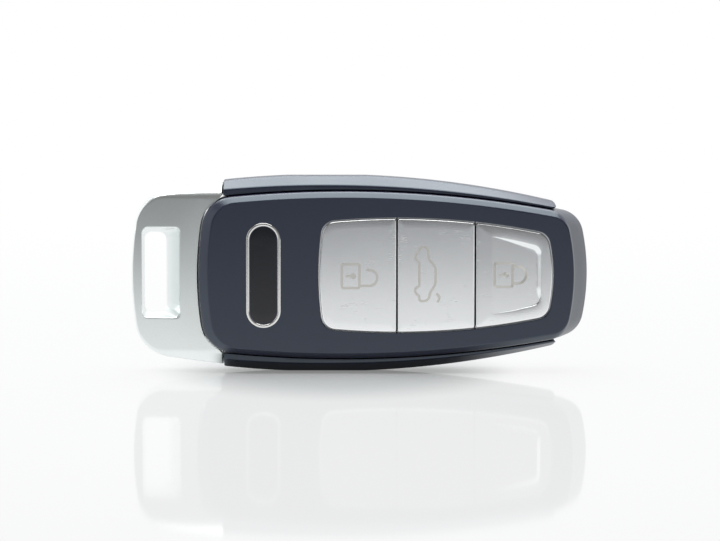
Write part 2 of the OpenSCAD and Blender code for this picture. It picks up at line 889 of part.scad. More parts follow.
module release_button() {
    half_l = release_length / 2;
    half_w = release_width / 2;
    color(NAVY) stand() difference() {
        union() {
            pad(release_x - half_l, release_x + half_l, half_w, release_corner, release_face_z, yoke_z);
            pad(release_x - half_l - release_lip, release_x + half_l + release_lip,
                half_w + release_lip_side, release_corner, release_flange_z, yoke_z);
        }
        translate([release_x, 0, spring_seat_z])
            cylinder(r = spring_bore, h = yoke_z + lap - spring_seat_z);
        for (i = [-1:1]) translate([release_x + grip_pitch * i, 0, release_face_z])
            box(-grip_half, grip_half, -half_w + grip_margin, half_w - grip_margin, -lap, grip_depth);
    }
}

module latch_yoke() {
    leg_top_z = ear_z + ear_height - 0.1;
    base = spring_bore + yoke_margin;
    color(STEEL) stand() {
        difference() {
            box(release_x - base, release_x + base, -leg_outer, leg_outer, yoke_z, yoke_z + yoke_thickness);
            translate([release_x, 0, yoke_z - lap]) cylinder(r = spring_bore, h = 3 * lap);
        }
        for (side = [0, 1]) mirror([0, side, 0]) {
            box(nose_start_x, nose_start_x + leg_length, leg_inner, leg_outer, yoke_z, leg_top_z);
            box(nose_start_x, nose_end_x, tongue_half + latch_gap, leg_outer, ear_z + 0.1, leg_top_z);
        }
    }
}

// Wire of the return spring, swept along a helix
module release_spring() {
    around = 6;
    per_turn = 12;
    rings = spring_turns * per_turn;
    r = spring_wire / 2;
    from = spring_seat_z + r;
    rise = shelf_z - r - from;
    color(STEEL) stand() translate([release_x, 0, from]) sweep([for (k = [0:rings])
        let (a = 360 * k / per_turn)
        [for (b = [0:360 / around:359]) let (out = spring_radius + r * cos(b))
            [out * cos(a), out * sin(a), rise * k / rings - r * sin(b)]]]);
}

front_shell();
rear_cover();
carrier_frame();
upper_side_rail();
lower_side_rail();
badge_plate();
badge_rim();
unlock_button_cap();
boot_button_cap();
lock_button_cap();
button_mat();
circuit_board();
switch_bodies();
unlock_switch_plunger();
boot_switch_plunger();
lock_switch_plunger();
antenna_core();
antenna_windings();
controller_chip();
radio_chip();
crystal_can();
board_components();
coin_cell();
positive_contact();
negative_contact();
loop_head();
emergency_blade();
blade_pin();
release_button();
latch_yoke();
release_spring();
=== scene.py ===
"""Car key fob with a slide-out emergency key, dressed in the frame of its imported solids.

The plans are drawn lying flat, in millimetres: x from the key-ring loop to the tip, y across the
width and z towards the button face. upright() turns them to the standing frame, in metres.
"""

import logging
import math
from dataclasses import dataclass
from enum import Enum
from typing import Any, Callable, Sequence, Union

import bmesh
import bpy
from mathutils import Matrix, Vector


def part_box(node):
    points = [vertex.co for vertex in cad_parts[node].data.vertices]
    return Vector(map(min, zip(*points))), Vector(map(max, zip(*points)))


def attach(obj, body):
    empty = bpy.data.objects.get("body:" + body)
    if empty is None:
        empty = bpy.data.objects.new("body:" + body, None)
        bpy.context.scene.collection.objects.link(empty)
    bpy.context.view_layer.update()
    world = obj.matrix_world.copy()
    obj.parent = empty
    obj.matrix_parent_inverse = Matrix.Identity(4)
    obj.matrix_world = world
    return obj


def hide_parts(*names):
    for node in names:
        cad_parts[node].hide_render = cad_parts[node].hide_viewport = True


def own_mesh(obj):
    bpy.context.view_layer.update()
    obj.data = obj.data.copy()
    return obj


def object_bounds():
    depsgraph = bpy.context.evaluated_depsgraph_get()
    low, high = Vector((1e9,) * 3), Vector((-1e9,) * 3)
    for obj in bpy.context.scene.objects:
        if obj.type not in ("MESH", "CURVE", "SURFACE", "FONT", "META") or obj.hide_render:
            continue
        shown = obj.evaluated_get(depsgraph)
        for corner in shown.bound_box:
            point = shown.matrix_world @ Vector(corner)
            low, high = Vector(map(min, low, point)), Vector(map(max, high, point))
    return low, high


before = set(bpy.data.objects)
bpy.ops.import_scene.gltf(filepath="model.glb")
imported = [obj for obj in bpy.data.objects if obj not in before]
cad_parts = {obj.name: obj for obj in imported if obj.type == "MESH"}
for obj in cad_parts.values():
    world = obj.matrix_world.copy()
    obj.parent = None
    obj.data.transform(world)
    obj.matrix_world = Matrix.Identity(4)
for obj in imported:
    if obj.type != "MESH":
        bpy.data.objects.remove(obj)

LOG = logging.getLogger("key_fob")
MM = 0.001
TINY = 1e-9
OVERCUT = 1.0
BEND_SHARE = 0.45
SHARP_ANGLE = math.radians(40)

Plan = list[Vector]
Ring = list[Vector]
Number = Union[float, "Value"]
Colour = tuple[float, float, float]
Place = tuple[float, float, float]
Span = tuple[float, float]
Line = Sequence[tuple[float, float]]
Height = Callable[[Vector], float]
Mesh = bmesh.types.BMesh
Socket = bpy.types.NodeSocket

WHOLE = [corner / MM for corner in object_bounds()]
RAIL_HALF_WIDTH = (WHOLE[1].z - WHOLE[0].z) / 2
LOOP_X = WHOLE[0].x
TIP_X = WHOLE[1].x


def flat_box(node: str) -> tuple[Vector, Vector]:
    """The box of a solid of the frame, lying flat.

    Args:
        node: the solid's name.

    Returns:
        Its lowest and highest corners, in millimetres.
    """
    low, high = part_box(node)
    bottom = Vector((low.x / MM, low.z / MM - RAIL_HALF_WIDTH, -high.y / MM))
    top = Vector((high.x / MM, high.z / MM - RAIL_HALF_WIDTH, -low.y / MM))
    return bottom, top


def middle_x(node: str) -> float:
    """The middle of a solid along the fob."""
    low, high = flat_box(node)
    return (low.x + high.x) / 2


TAIL_X = flat_box("front_shell")[0].x
FACE_Z = flat_box("front_shell")[1].z
RAIL_START_X = flat_box("upper_side_rail")[0].x
RELEASE_X = middle_x("release_button")


class Body(Enum):
    """The moving bodies of the fob."""

    HOUSING = "housing"
    COVER = "cover"
    UNLOCK = "unlock_button"
    BOOT = "boot_button"
    LOCK = "lock_button"
    KEY = "emergency_key"
    RELEASE = "release"


BUTTONS = (Body.UNLOCK, Body.BOOT, Body.LOCK)


class Side(Enum):
    """The two long sides of the fob."""

    UPPER = 1
    LOWER = -1


def operator(kind: str, swapped: bool = False) -> Callable[["Value", Number], "Value"]:
    """The method behind an operator, which adds a Math node.

    Args:
        kind: the node's operation.
        swapped: whether the other number comes first.

    Returns:
        The method.
    """
    def apply(self: "Value", other: Number) -> "Value":
        """Adds the node and returns its result."""
        first, second = (other, self) if swapped else (self, other)
        return self.graph.math(kind, first, second)

    return apply


class Value:
    """A number socket whose operators add Math nodes; | gives the larger of two numbers."""

    def __init__(self, graph: "Graph", socket: Socket) -> None:
        """Wraps a socket of the graph."""
        self.graph = graph
        self.socket = socket

    __add__ = operator("ADD")
    __radd__ = operator("ADD", True)
    __sub__ = operator("SUBTRACT")
    __rsub__ = operator("SUBTRACT", True)
    __mul__ = operator("MULTIPLY")
    __rmul__ = operator("MULTIPLY", True)
    __or__ = operator("MAXIMUM")


class Graph:
    """Adds nodes to an empty node tree."""

    def __init__(self, tree: bpy.types.NodeTree) -> None:
        """Empties the tree and keeps it."""
        tree.nodes.clear()
        self.tree = tree

    def node(self, kind: str, settings: dict[str, Any], inputs: dict[Any, Any]) -> bpy.types.Node:
        """Adds one node.

        Args:
            kind: the node's type.
            settings: attributes that are set before the sockets.
            inputs: a value, a Value or a socket for each input, by name or number.

        Returns:
            The new node.
        """
        made = self.tree.nodes.new(kind)
        for name, setting in settings.items():
            setattr(made, name, setting)
        for name, given in inputs.items():
            target = made.inputs[name]
            source = given.socket if isinstance(given, Value) else given
            if isinstance(source, Socket):
                self.tree.links.new(source, target)
            else:
                target.default_value = source
        return made

    def value(self, kind: str, settings: dict[str, Any], inputs: dict[Any, Any],
              output: Union[int, str] = 0) -> Value:
        """Adds one node and returns the number that it gives."""
        return Value(self, self.node(kind, settings, inputs).outputs[output])

    def math(self, operation: str, a: Number, b: Number) -> Value:
        """Adds a Math node and returns its result."""
        return self.value("ShaderNodeMath", {"operation": operation}, {0: a, 1: b})

    def place(self, scale: Sequence[float] = (1, 1, 1), turn: float = 0.0) -> Socket:
        """Object coordinates, turned by degrees in the plane of the face and stretched."""
        here = self.node("ShaderNodeTexCoord", {}, {}).outputs["Object"]
        inputs = {"Vector": here, "Rotation": (0, math.radians(turn), 0), "Scale": scale}
        return self.node("ShaderNodeMapping", {}, inputs).outputs[0]

    def noise(self, where: Socket, size: float, detail: float = 2.0) -> Value:
        """Noise with grains of a size in millimetres."""
        inputs = {"Vector": where, "Scale": 1 / (size * MM), "Detail": detail}
        return self.value("ShaderNodeTexNoise", {}, inputs)

    def ease(self, value: Number, low: float, high: float) -> Value:
        """Goes smoothly from 0 to 1 between two limits."""
        inputs = {"Value": value, "From Min": low, "From Max": high}
        return self.value("ShaderNodeMapRange", {"interpolation_type": "SMOOTHSTEP"}, inputs, "Result")

    def blend(self, factor: Number, a: Colour, b: Colour) -> Socket:
        """Mixes two colours."""
        made = self.node("ShaderNodeMix", {"data_type": "RGBA"}, {0: factor, 6: (*a, 1), 7: (*b, 1)})
        return made.outputs[2]

    def bump(self, height: Value, depth: float, strength: float) -> Socket:
        """Bump with a depth in millimetres."""
        inputs = {"Height": height, "Distance": depth * MM, "Strength": strength}
        return self.node("ShaderNodeBump", {}, inputs).outputs[0]


def tinted(colour: Colour, factor: float) -> Colour:
    """The colour, lighter or darker by a factor."""
    return (colour[0] * factor, colour[1] * factor, colour[2] * factor)


@dataclass(frozen=True)
class Finish:
    """A surface finish, with the slot of the record that it belongs to and its colour's two tones."""

    name: str
    slot: str
    colour: Colour
    roughness: float
    tones: Span = (1.0, 1.0)

    def material(self) -> bpy.types.Material:
        """Finds the finish's material, or makes it.

        Returns:
            The material, with its nodes in place.
        """
        found = bpy.data.materials.get(self.name)
        if found:
            return found
        made = bpy.data.materials.new(self.name)
        made.use_nodes = True
        graph = Graph(made.node_tree)
        shader = graph.node("ShaderNodeBsdfPrincipled", {}, self.inputs(graph))
        graph.node("ShaderNodeOutputMaterial", {}, {"Surface": shader.outputs[0]})
        return made

    def shades(self, graph: Graph, tone: Value) -> Socket:
        """The colour, which goes from its first tone to its second as a value goes from 0 to 1."""
        dark, light = [tinted(self.colour, factor) for factor in self.tones]
        return graph.blend(tone, dark, light)

    def inputs(self, graph: Graph) -> dict[str, Any]:
        """Adds the nodes of the finish and returns what goes into its shader."""
        raise NotImplementedError


@dataclass(frozen=True)
class GrainedPlastic(Finish):
    """Moulded plastic with a fine spark-eroded grain."""

    tones: Span = (0.82, 1.18)
    grain: float = 0.22
    mottle: float = 9.0
    wear: float = 1.4
    worn_span: Span = (0.62, 0.8)
    fine_share: float = 0.6
    rough_drop: float = 0.08
    fine_rough: float = 0.12
    broad_rough: float = 0.06
    worn_rough: float = 0.05
    depth: float = 0.02
    strength: float = 0.5
    gloss: float = 0.5
    index: float = 1.5
    sheen: Colour = (1.0, 1.0, 1.0)

    def inputs(self, graph: Graph) -> dict[str, Any]:
        """Grain in the bump and the roughness, with a faint mottle in the colour."""
        where = graph.place()
        fine = graph.noise(where, self.grain)
        broad = graph.noise(where, self.mottle, detail=3.0)
        worn = graph.ease(graph.noise(where, self.wear, detail=4.0), *self.worn_span)
        rough = self.roughness - self.rough_drop + fine * self.fine_rough + broad * self.broad_rough
        return {
            "Base Color": self.shades(graph, fine * self.fine_share + broad * (1 - self.fine_share)),
            "Roughness": rough - worn * self.worn_rough,
            "Normal": graph.bump(fine, self.depth, self.strength),
            "Specular IOR Level": self.gloss,
            "IOR": self.index,
            "Specular Tint": (*self.sheen, 1.0)}


@dataclass(frozen=True)
class SatinMetal(Finish):
    """Satin metal: fine grains, a brushed direction and small scratch marks, lighter partly as painted
    glint.
    """

    tones: Span = (0.88, 1.1)
    grain: float = 0.16
    mottle: float = 7.0
    patch: float = 3.1
    patch_span: Span = (0.57, 0.65)
    line_stretch: Sequence[float] = (0.06, 1, 1)
    line_span: Span = (0.68, 0.72)
    line_turns_and_sizes: Line = ((20, 0.12), (-35, 0.1))
    fine_share: float = 0.65
    rough_drop: float = 0.04
    fine_rough: float = 0.06
    broad_rough: float = 0.03
    mark_rough: float = 0.4
    depth: float = 0.008
    strength: float = 0.3
    brush: Sequence[float] = (1, 1, 1)
    scratch_and_glint_level: float = 0.25

    def scratch_mask(self, graph: Graph, turn: float, size: float) -> Value:
        """Thin broken lines, in one direction across the face."""
        lines = graph.noise(graph.place(self.line_stretch, turn), size, detail=1.0)
        patches = graph.noise(graph.place(), self.patch, detail=1.0)
        return graph.ease(lines, *self.line_span) * graph.ease(patches, *self.patch_span)

    def inputs(self, graph: Graph) -> dict[str, Any]:
        """Grain in colour, roughness and bump, and scratch marks that are rougher and lighter; their
        lighter colour is partly painted glint.
        """
        fine = graph.noise(graph.place(self.brush), self.grain)
        broad = graph.noise(graph.place(), self.mottle, detail=3.0)
        first, second = [self.scratch_mask(graph, *kind) for kind in self.line_turns_and_sizes]
        scratch_marks_and_glint = (first | second) * self.scratch_and_glint_level
        # The scratch marks lighten the colour: partly real scratch wear, partly painted glint where
        # they would catch the light.
        tone = fine * self.fine_share + broad * (1 - self.fine_share) + scratch_marks_and_glint
        rough = self.roughness - self.rough_drop + fine * self.fine_rough + broad * self.broad_rough
        return {
            "Metallic": 1.0,
            "Base Color": self.shades(graph, tone),
            "Roughness": rough + scratch_marks_and_glint * self.mark_rough,
            "Normal": graph.bump(fine - scratch_marks_and_glint, self.depth, self.strength)}


@dataclass(frozen=True)
class PolishedInlay(Finish):
    """Polished dark plastic with faint smudges."""

    tones: Span = (0.8, 1.3)
    smudge: float = 2.6
    speck: float = 0.3
    speck_span: Span = (0.6, 0.75)
    smudge_rough: float = 0.12
    speck_rough: float = 0.05
    depth: float = 0.01
    strength: float = 0.1

    def inputs(self, graph: Graph) -> dict[str, Any]:
        """Smudges in the roughness and a soft depth in the colour."""
        where = graph.place()
        smudge = graph.noise(where, self.smudge, detail=4.0)
        specks = graph.ease(graph.noise(where, self.speck, detail=1.0), *self.speck_span)
        return {
            "Base Color": self.shades(graph, smudge),
            "Roughness": self.roughness + smudge * self.smudge_rough + specks * self.speck_rough,
            "Normal": graph.bump(smudge, self.depth, self.strength)}


@dataclass(frozen=True)
class WoundWire(Finish):
    """Enamelled wire wound in close turns."""

    # From painted shade in the grooves to painted highlight on the crests.
    tones: Span = (0.5, 1.1)
    pitch: float = 0.16
    band: float = 0.31
    sway: float = 0.6
    metal: float = 0.8
    turn_rough: float = 0.1
    depth: float = 0.05
    strength: float = 0.6

    def inputs(self, graph: Graph) -> dict[str, Any]:
        """Turns in the bump, with painted shade between the turns and painted highlights on their
        crests.
        """
        settings = {"wave_type": "BANDS", "bands_direction": "DIAGONAL"}
        scale = self.band / (self.pitch * MM)
        inputs = {"Vector": graph.place(), "Scale": scale, "Distortion": self.sway}
        turns = graph.value("ShaderNodeTexWave", settings, inputs, 1)
        return {
            "Metallic": self.metal,
            # The turns' wave darkens the colour in the grooves and lightens it on the crests: painted
            # shade and painted highlight.
            "Base Color": self.shades(graph, turns),
            "Roughness": self.roughness + turns * self.turn_rough,
            "Normal": graph.bump(turns, self.depth, self.strength)}


@dataclass(frozen=True)
class MaskedBoard(Finish):
    """Solder-masked laminate with copper tracks under the mask."""

    tones: Span = (1.0, 1.9)
    track: float = 1.1
    track_span: Span = (0.42, 0.5)
    weave: float = 0.35
    weave_share: float = 0.3
    weave_rough: float = 0.1
    track_rough: float = 0.06
    depth: float = 0.03
    strength: float = 0.4

    def inputs(self, graph: Graph) -> dict[str, Any]:
        """Lighter tracks where copper lies under the mask."""
        where = graph.place()
        cells = graph.value("ShaderNodeTexVoronoi", {"distance": "MANHATTAN", "feature": "F1"},
                            {"Vector": where, "Scale": 1 / (2 * self.track * MM)})
        tracks = graph.ease(cells, *self.track_span)
        weave = graph.noise(where, self.weave)
        return {
            "Base Color": self.shades(graph, tracks),
            "Roughness": self.roughness + weave * self.weave_rough - tracks * self.track_rough,
            "Normal": graph.bump(tracks + weave * self.weave_share, self.depth, self.strength)}


NAVY = GrainedPlastic("navy_grain", "navy_plastic", (0.005, 0.003, 0.03), 0.32, depth=0.01,
                      gloss=1.0, index=1.53, sheen=(0.785, 0.935, 1.0))
BLACK = GrainedPlastic("black_moulding", "black_plastic", (0.018, 0.018, 0.02), 0.5)
SILVER = SatinMetal("satin_silver", "satin_plating", (0.86, 0.91, 0.905), 0.3, scratch_and_glint_level=0.08)
CAP_SILVER = SatinMetal("cap_satin", "cap_silver", (0.88, 0.9, 0.91), 0.17, scratch_and_glint_level=0.45)
RIM = SatinMetal("bright_rim", "satin_plating", (0.8, 0.8, 0.79), 0.16, grain=0.08)
INLAY = PolishedInlay("dark_inlay", "gloss_inlay", (0.012, 0.013, 0.018), 0.1)
MARKING = SatinMetal("etched_line", "cap_silver", (0.79, 0.78, 0.735), 0.28, grain=0.07)
STEEL = SatinMetal("brushed_steel", "bright_steel", (0.58, 0.58, 0.57), 0.28, brush=(0.05, 1, 1))
RUBBER = GrainedPlastic("silicone_mat", "grey_rubber", (0.06, 0.06, 0.065), 0.65, grain=0.4)
BOARD = MaskedBoard("masked_laminate", "green_board", (0.01, 0.085, 0.04), 0.3)
FERRITE = GrainedPlastic("pressed_ferrite", "ferrite", (0.03, 0.03, 0.032), 0.55, grain=0.15)
COPPER = WoundWire("wound_copper", "copper_wire", (0.55, 0.22, 0.09), 0.3)
RESIN = GrainedPlastic("chip_moulding", "chip_resin", (0.016, 0.016, 0.017), 0.5, grain=0.1)
CERAMIC = GrainedPlastic("chip_ceramic", "component_tan", (0.35, 0.25, 0.16), 0.45, grain=0.1)


def upright(x: float, y: float, z: float) -> Vector:
    """Turns a flat-lying point in millimetres to the standing frame in metres."""
    return Vector((x, -z, y + RAIL_HALF_WIDTH)) * MM


def spread(start: float, stop: float, steps: int) -> list[float]:
    """Evenly spaced values, both ends included."""
    return [start + (stop - start) * i / steps for i in range(steps + 1)]


def arc(centre: Vector, radius: float, start: float, stop: float, steps: int) -> Plan:
    """Points on an arc between two angles."""
    return [centre + radius * Vector((math.cos(a), math.sin(a))) for a in spread(start, stop, steps)]


def bearing(v: Vector) -> float:
    """The angle of a direction."""
    return math.atan2(v.y, v.x)


def crossing(p: Vector, a: float, q: Vector, b: float, side: int) -> Vector:
    """Where two circles cross.

    Args:
        p: centre of the first circle.
        a: its radius.
        q: centre of the second circle.
        b: its radius.
        side: 1 for the crossing to the right of the line from p to q, -1 for the left.

    Returns:
        The crossing point.
    """
    d = (q - p).length
    u = (q - p) / d
    k = (a * a - b * b + d * d) / (2 * d)
    h = math.sqrt(a * a - k * k)
    return p + k * u + side * h * Vector((u.y, -u.x))


def sag(radius: float, reach: float) -> float:
    """How far an arc falls away from its tangent over a reach."""
    return radius - math.sqrt(radius * radius - reach * reach)


def least(a: float, b: float, soft: float) -> float:
    """The smaller of two numbers, with a smooth turn between them."""
    h = max(soft - abs(a - b), 0.0) / soft
    return min(a, b) - h * h * soft / 4


def even(points: Plan, steps: int) -> Plan:
    """Points at even distances along a line of points.

    Args:
        points: the line.
        steps: how many stretches it is divided into.

    Returns:
        The new points, both ends included.
    """
    lengths = [(b - a).length for a, b in zip(points, points[1:])]
    total = sum(lengths)
    made = []
    for target in spread(0, total, steps):
        walked = 0.0
        for a, b, length in zip(points, points[1:], lengths):
            if walked + length >= target - TINY:
                made.append(a.lerp(b, (target - walked) / length))
                break
            walked += length
    return made


def mirrored(upper: Plan) -> Plan:
    """Closes a plan whose upper half runs from the x axis back to the x axis."""
    return upper + [Vector((p.x, -p.y)) for p in reversed(upper[1:-1])]


@dataclass(frozen=True)
class Bar:
    """Plan of a bar with bowed sides and ends and rounded corners."""

    right: float
    left: float
    half: float
    apex: float
    side_radius: float
    end_radius: float
    end_corner: float
    tail_radius: float
    tail_corner: float

    def plan(self) -> Plan:
        """The closed outline, from the middle of the right end over the upper side."""
        side = Vector((self.apex, self.half - self.side_radius))
        end = Vector((self.right - self.end_radius, 0))
        tail = Vector((self.left + self.tail_radius, 0))
        first = crossing(side, self.side_radius - self.end_corner,
                         end, self.end_radius - self.end_corner, 1)
        last = crossing(side, self.side_radius - self.tail_corner,
                        tail, self.tail_radius - self.tail_corner, -1)
        upper = arc(end, self.end_radius, 0, bearing(first - end), 10)
        upper += arc(first, self.end_corner, bearing(first - end), bearing(first - side), 12)[1:]
        upper += arc(side, self.side_radius, bearing(first - side), bearing(last - side), 44)[1:]
        upper += arc(last, self.tail_corner, bearing(last - side), bearing(last - tail), 12)[1:]
        upper += arc(tail, self.tail_radius, bearing(last - tail), math.pi, 10)[1:]
        return mirrored(upper)


def pad_plan(left: float, right: float, half: float, corner: float) -> Plan:
    """Rectangle with rounded corners, from the middle of its right end."""
    upper = [Vector((right, y)) for y in spread(0, half - corner, 28)]
    upper += arc(Vector((right - corner, half - corner)), corner, 0, math.pi / 2, 7)[1:]
    upper += [Vector((x, half)) for x in spread(right - corner, left + corner, 20)[1:]]
    upper += arc(Vector((left + corner, half - corner)), corner, math.pi / 2, math.pi, 14)[1:]
    upper += [Vector((left, y)) for y in spread(half - corner, 0, 14)[1:]]
    return mirrored(upper)


def pill_plan(x: float, half_width: float, half_height: float) -> Plan:
    """Long rounded shape that stands across the fob."""
    reach = half_height - half_width
    upper = [Vector((x + half_width, y)) for y in spread(0, reach, 4)]
    upper += arc(Vector((x, reach)), half_width, 0, math.pi, 36)[1:]
    upper += [Vector((x - half_width, y)) for y in spread(reach, 0, 4)[1:]]
    return mirrored(upper)


def round_plan(x: float, radius: float) -> Plan:
    """A circle on the middle line."""
    return arc(Vector((x, 0)), radius, 0, 2 * math.pi, 36)[:-1]


def level(plan: Plan, z: Union[float, Height]) -> Ring:
    """Lifts a plan to a height, or to a height that depends on the place."""
    return [upright(p.x, p.y, z(p) if callable(z) else z) for p in plan]


@dataclass
class Station:
    """A ring of a skin, with the reach of the rounding at it, in millimetres."""

    ring: Ring
    soft: float = 0.0


def stack(*levels: tuple) -> list[Station]:
    """Stations from plans and their heights, each with its rounding's reach where it has one."""
    return [Station(level(plan, z), *soft) for plan, z, *soft in levels]


def bend(before: Vector, corner: Vector, after: Vector, reach: float, t: float) -> Vector:
    """A point on the rounding of a corner between its two neighbours."""
    back = before - corner
    ahead = after - corner
    start = corner + back * min(BEND_SHARE, reach / max(back.length, TINY))
    stop = corner + ahead * min(BEND_SHARE, reach / max(ahead.length, TINY))
    return start * (1 - t) ** 2 + corner * (2 * t * (1 - t)) + stop * t ** 2


def soften(stations: Sequence[Station], closed: bool, steps: int) -> list[Ring]:
    """Rounds the corners of a skin.

    Args:
        stations: the rings in order.
        closed: whether the last ring is followed by the first.
        steps: faces across each rounding.

    Returns:
        All rings, with those of the roundings put in.
    """
    rings = []
    last = len(stations) - 1
    for k, station in enumerate(stations):
        if not station.soft or (not closed and k in (0, last)):
            rings.append(station.ring)
            continue
        near = stations[k - 1].ring
        far = stations[(k + 1) % len(stations)].ring
        for t in spread(0, 1, steps):
            rings.append([bend(a, p, b, station.soft * MM, t)
                          for a, p, b in zip(near, station.ring, far)])
    return rings


def ring_edges(bm: Mesh, ring: Sequence[bmesh.types.BMVert]) -> list[bmesh.types.BMEdge]:
    """The edges round a ring of vertices."""
    return [bm.edges.get((ring[i - 1], ring[i])) for i in range(len(ring))]


def grow(bm: Mesh, rings: Sequence[Ring], closed: bool = False) -> None:
    """Grows a skin ring by ring with edge extrusions.

    Args:
        bm: the mesh that takes the skin.
        rings: the rings, each with the same number of points.
        closed: joins the last ring to the first; otherwise both ends are filled.
    """
    ring = bmesh.ops.create_circle(bm, cap_ends=not closed, radius=1.0, segments=len(rings[0]))["verts"]
    for vert, point in zip(ring, rings[0]):
        vert.co = point
    followers = list(rings[1:]) + ([rings[0]] if closed else [])
    made = list(ring)
    for points in followers:
        grown = bmesh.ops.extrude_edge_only(bm, edges=ring_edges(bm, ring))["geom"]
        fresh = {g for g in grown if isinstance(g, bmesh.types.BMVert)}
        ring = [next(e.other_vert(v) for e in v.link_edges if e.other_vert(v) in fresh) for v in ring]
        for vert, point in zip(ring, points):
            vert.co = point
        made += ring
    if closed:
        bmesh.ops.remove_doubles(bm, verts=made, dist=1e-7)
    else:
        bmesh.ops.edgeloop_fill(bm, edges=ring_edges(bm, ring))


def skin(stations: Sequence[Station], closed: bool = False, steps: int = 4) -> Mesh:
    """A new mesh with one softened skin."""
    bm = bmesh.new()
    grow(bm, soften(stations, closed, steps), closed)
    return bm


def block(bm: Mesh, low: Sequence[float], high: Sequence[float], edge: float = 0.0) -> None:
    """Adds a block with bevelled edges.

    Args:
        bm: the mesh that takes the block.
        low: its lowest corner, lying flat, in millimetres.
        high: its highest corner.
        edge: width of the bevel.
    """
    verts = bmesh.ops.create_cube(bm, size=1.0)["verts"]
    for vert in verts:
        corner = [(high[i] if vert.co[i] > 0 else low[i]) for i in range(3)]
        vert.co = upright(*corner)
    if edge:
        edges = list({e for v in verts for e in v.link_edges})
        bmesh.ops.bevel(bm, geom=edges, offset=edge * MM, affect="EDGES", segments=2,
                        profile=0.5, material=-1)


def as_object(name: str, bm: Mesh) -> bpy.types.Object:
    """Turns a bmesh into an object with outward normals."""
    bmesh.ops.recalc_face_normals(bm, faces=bm.faces)
    mesh = bpy.data.meshes.new(name)
    bm.to_mesh(mesh)
    bm.free()
    made = bpy.data.objects.new(name, mesh)
    bpy.context.scene.collection.objects.link(made)
    return made


def carve(target: bpy.types.Object, cutters: Sequence[Mesh]) -> None:
    """Cuts solids out of an object and keeps the result as its mesh."""
    tools = [as_object(f"{target.name}_cutter_{i}", cutter) for i, cutter in enumerate(cutters)]
    for tool in tools:
        cut = target.modifiers.new(tool.name, "BOOLEAN")
        cut.operation = "DIFFERENCE"
        cut.solver = "EXACT"
        cut.object = tool
    graph = bpy.context.evaluated_depsgraph_get()
    result = bpy.data.meshes.new_from_object(target.evaluated_get(graph))
    target.modifiers.clear()
    target.data = result
    for tool in tools:
        bpy.data.objects.remove(tool)


@dataclass
class Piece:
    """A finished piece: its name, finish, body, the nodes that it stands for, and its cutters."""

    name: str
    finish: Finish
    body: Body
    nodes: tuple[str, ...] = ()
    cutters: tuple[Mesh, ...] = ()

    def make(self, bm: Mesh) -> bpy.types.Object:
        """Makes the object, dresses it and hangs it on its body.

        Args:
            bm: the mesh, which is freed.

        Returns:
            The object in the scene.
        """
        made = as_object(self.name, bm)
        if self.cutters:
            carve(made, self.cutters)
        mesh = made.data
        mesh.shade_smooth()
        mesh.set_sharp_from_angle(angle=SHARP_ANGLE)
        mesh.materials.clear()
        mesh.materials.append(self.finish.material())
        normals = made.modifiers.new("flat_faces", "WEIGHTED_NORMAL")
        normals.keep_sharp = True
        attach(made, self.body.value)
        if self.nodes:
            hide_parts(*self.nodes)
        LOG.info("%s: %d faces on %s", self.name, len(mesh.polygons), self.body.value)
        return made


@dataclass
class Housing:
    """The moulded housing: one plan that the shell, the rails, the cover and the head share."""

    belt_half: float = 15.15
    belt_apex: float = -3.0
    side_radius: float = 210.0
    end_radius: float = 38.0
    tail_radius: float = 60.0
    tip_corner: float = 4.7
    tail_corner: float = 6.0
    least_corner: float = 1.0
    wall: float = 1.5
    side_lean: float = 0.25
    tip_lean: float = 1.1
    tail_lean: float = 0.1
    chamfer: float = 1.0
    chamfer_z: float = 6.4
    tip_rim: float = 2.6
    tip_chamfer: float = 1.7
    tail_chamfer: float = 1.7
    parting_z: float = -0.5
    way_depth: float = 3.0
    way_half: float = 5.9
    way_low: float = -2.4
    way_high: float = 1.5

    def plan(self, side: float, tip: float, tail: float) -> Plan:
        """The plan, drawn in by its own amount at the sides, the tip and the loop end."""
        return Bar(
            TIP_X - tip, TAIL_X + tail, self.belt_half - side, self.belt_apex, self.side_radius - side,
            self.end_radius, max(self.tip_corner - side, self.least_corner),
            self.tail_radius, max(self.tail_corner - side, self.least_corner)).plan()

    def cavity(self) -> Plan:
        """The plan of the hollow inside."""
        leans = (self.side_lean, self.tip_lean, self.tail_lean)
        return self.plan(*[lean + self.wall for lean in leans])

    def belt_y(self, x: float) -> float:
        """Half of the housing's width at a place."""
        return self.belt_half - sag(self.side_radius, x - self.belt_apex)

    def tongue_way(self) -> Mesh:
        """The opening for the key's tongue in the end walls."""
        bm = bmesh.new()
        block(bm, (TAIL_X - OVERCUT, -self.way_half, self.way_low),
              (TAIL_X + self.way_depth, self.way_half, self.way_high))
        return bm


@dataclass
class FrontShell:
    """The face of the fob with its chamfered rim and the window for the caps."""

    housing: Housing
    window: Plan
    window_edge: float = 0.16
    face_edge: float = 0.2
    rim_edge: float = 0.5
    belt_edge: float = 0.1
    waist_share: float = 0.3
    tip_waist_share: float = 0.5

    def build(self) -> None:
        """Builds the shell as one closed skin round the window."""
        h = self.housing
        face = h.plan(h.side_lean + h.chamfer, h.tip_lean + h.tip_chamfer, h.tail_lean + h.tail_chamfer)
        rim = h.plan(h.side_lean, h.tip_rim, h.tail_lean)
        waist = h.plan(self.waist_share * h.side_lean, self.tip_waist_share * h.tip_rim,
                       self.waist_share * h.tail_lean)
        belt = h.plan(0, 0, 0)
        stations = stack(
            (self.window, FACE_Z, self.window_edge), (face, FACE_Z, self.face_edge),
            (rim, h.chamfer_z, self.rim_edge), (waist, h.chamfer_z / 2), (belt, 0),
            (belt, h.parting_z, self.belt_edge), (h.cavity(), h.parting_z),
            (h.cavity(), FACE_Z - h.wall), (self.window, FACE_Z - h.wall))
        Piece("front_shell_moulding", NAVY, Body.HOUSING, ("front_shell",),
              (h.tongue_way(),)).make(skin(stations, True))


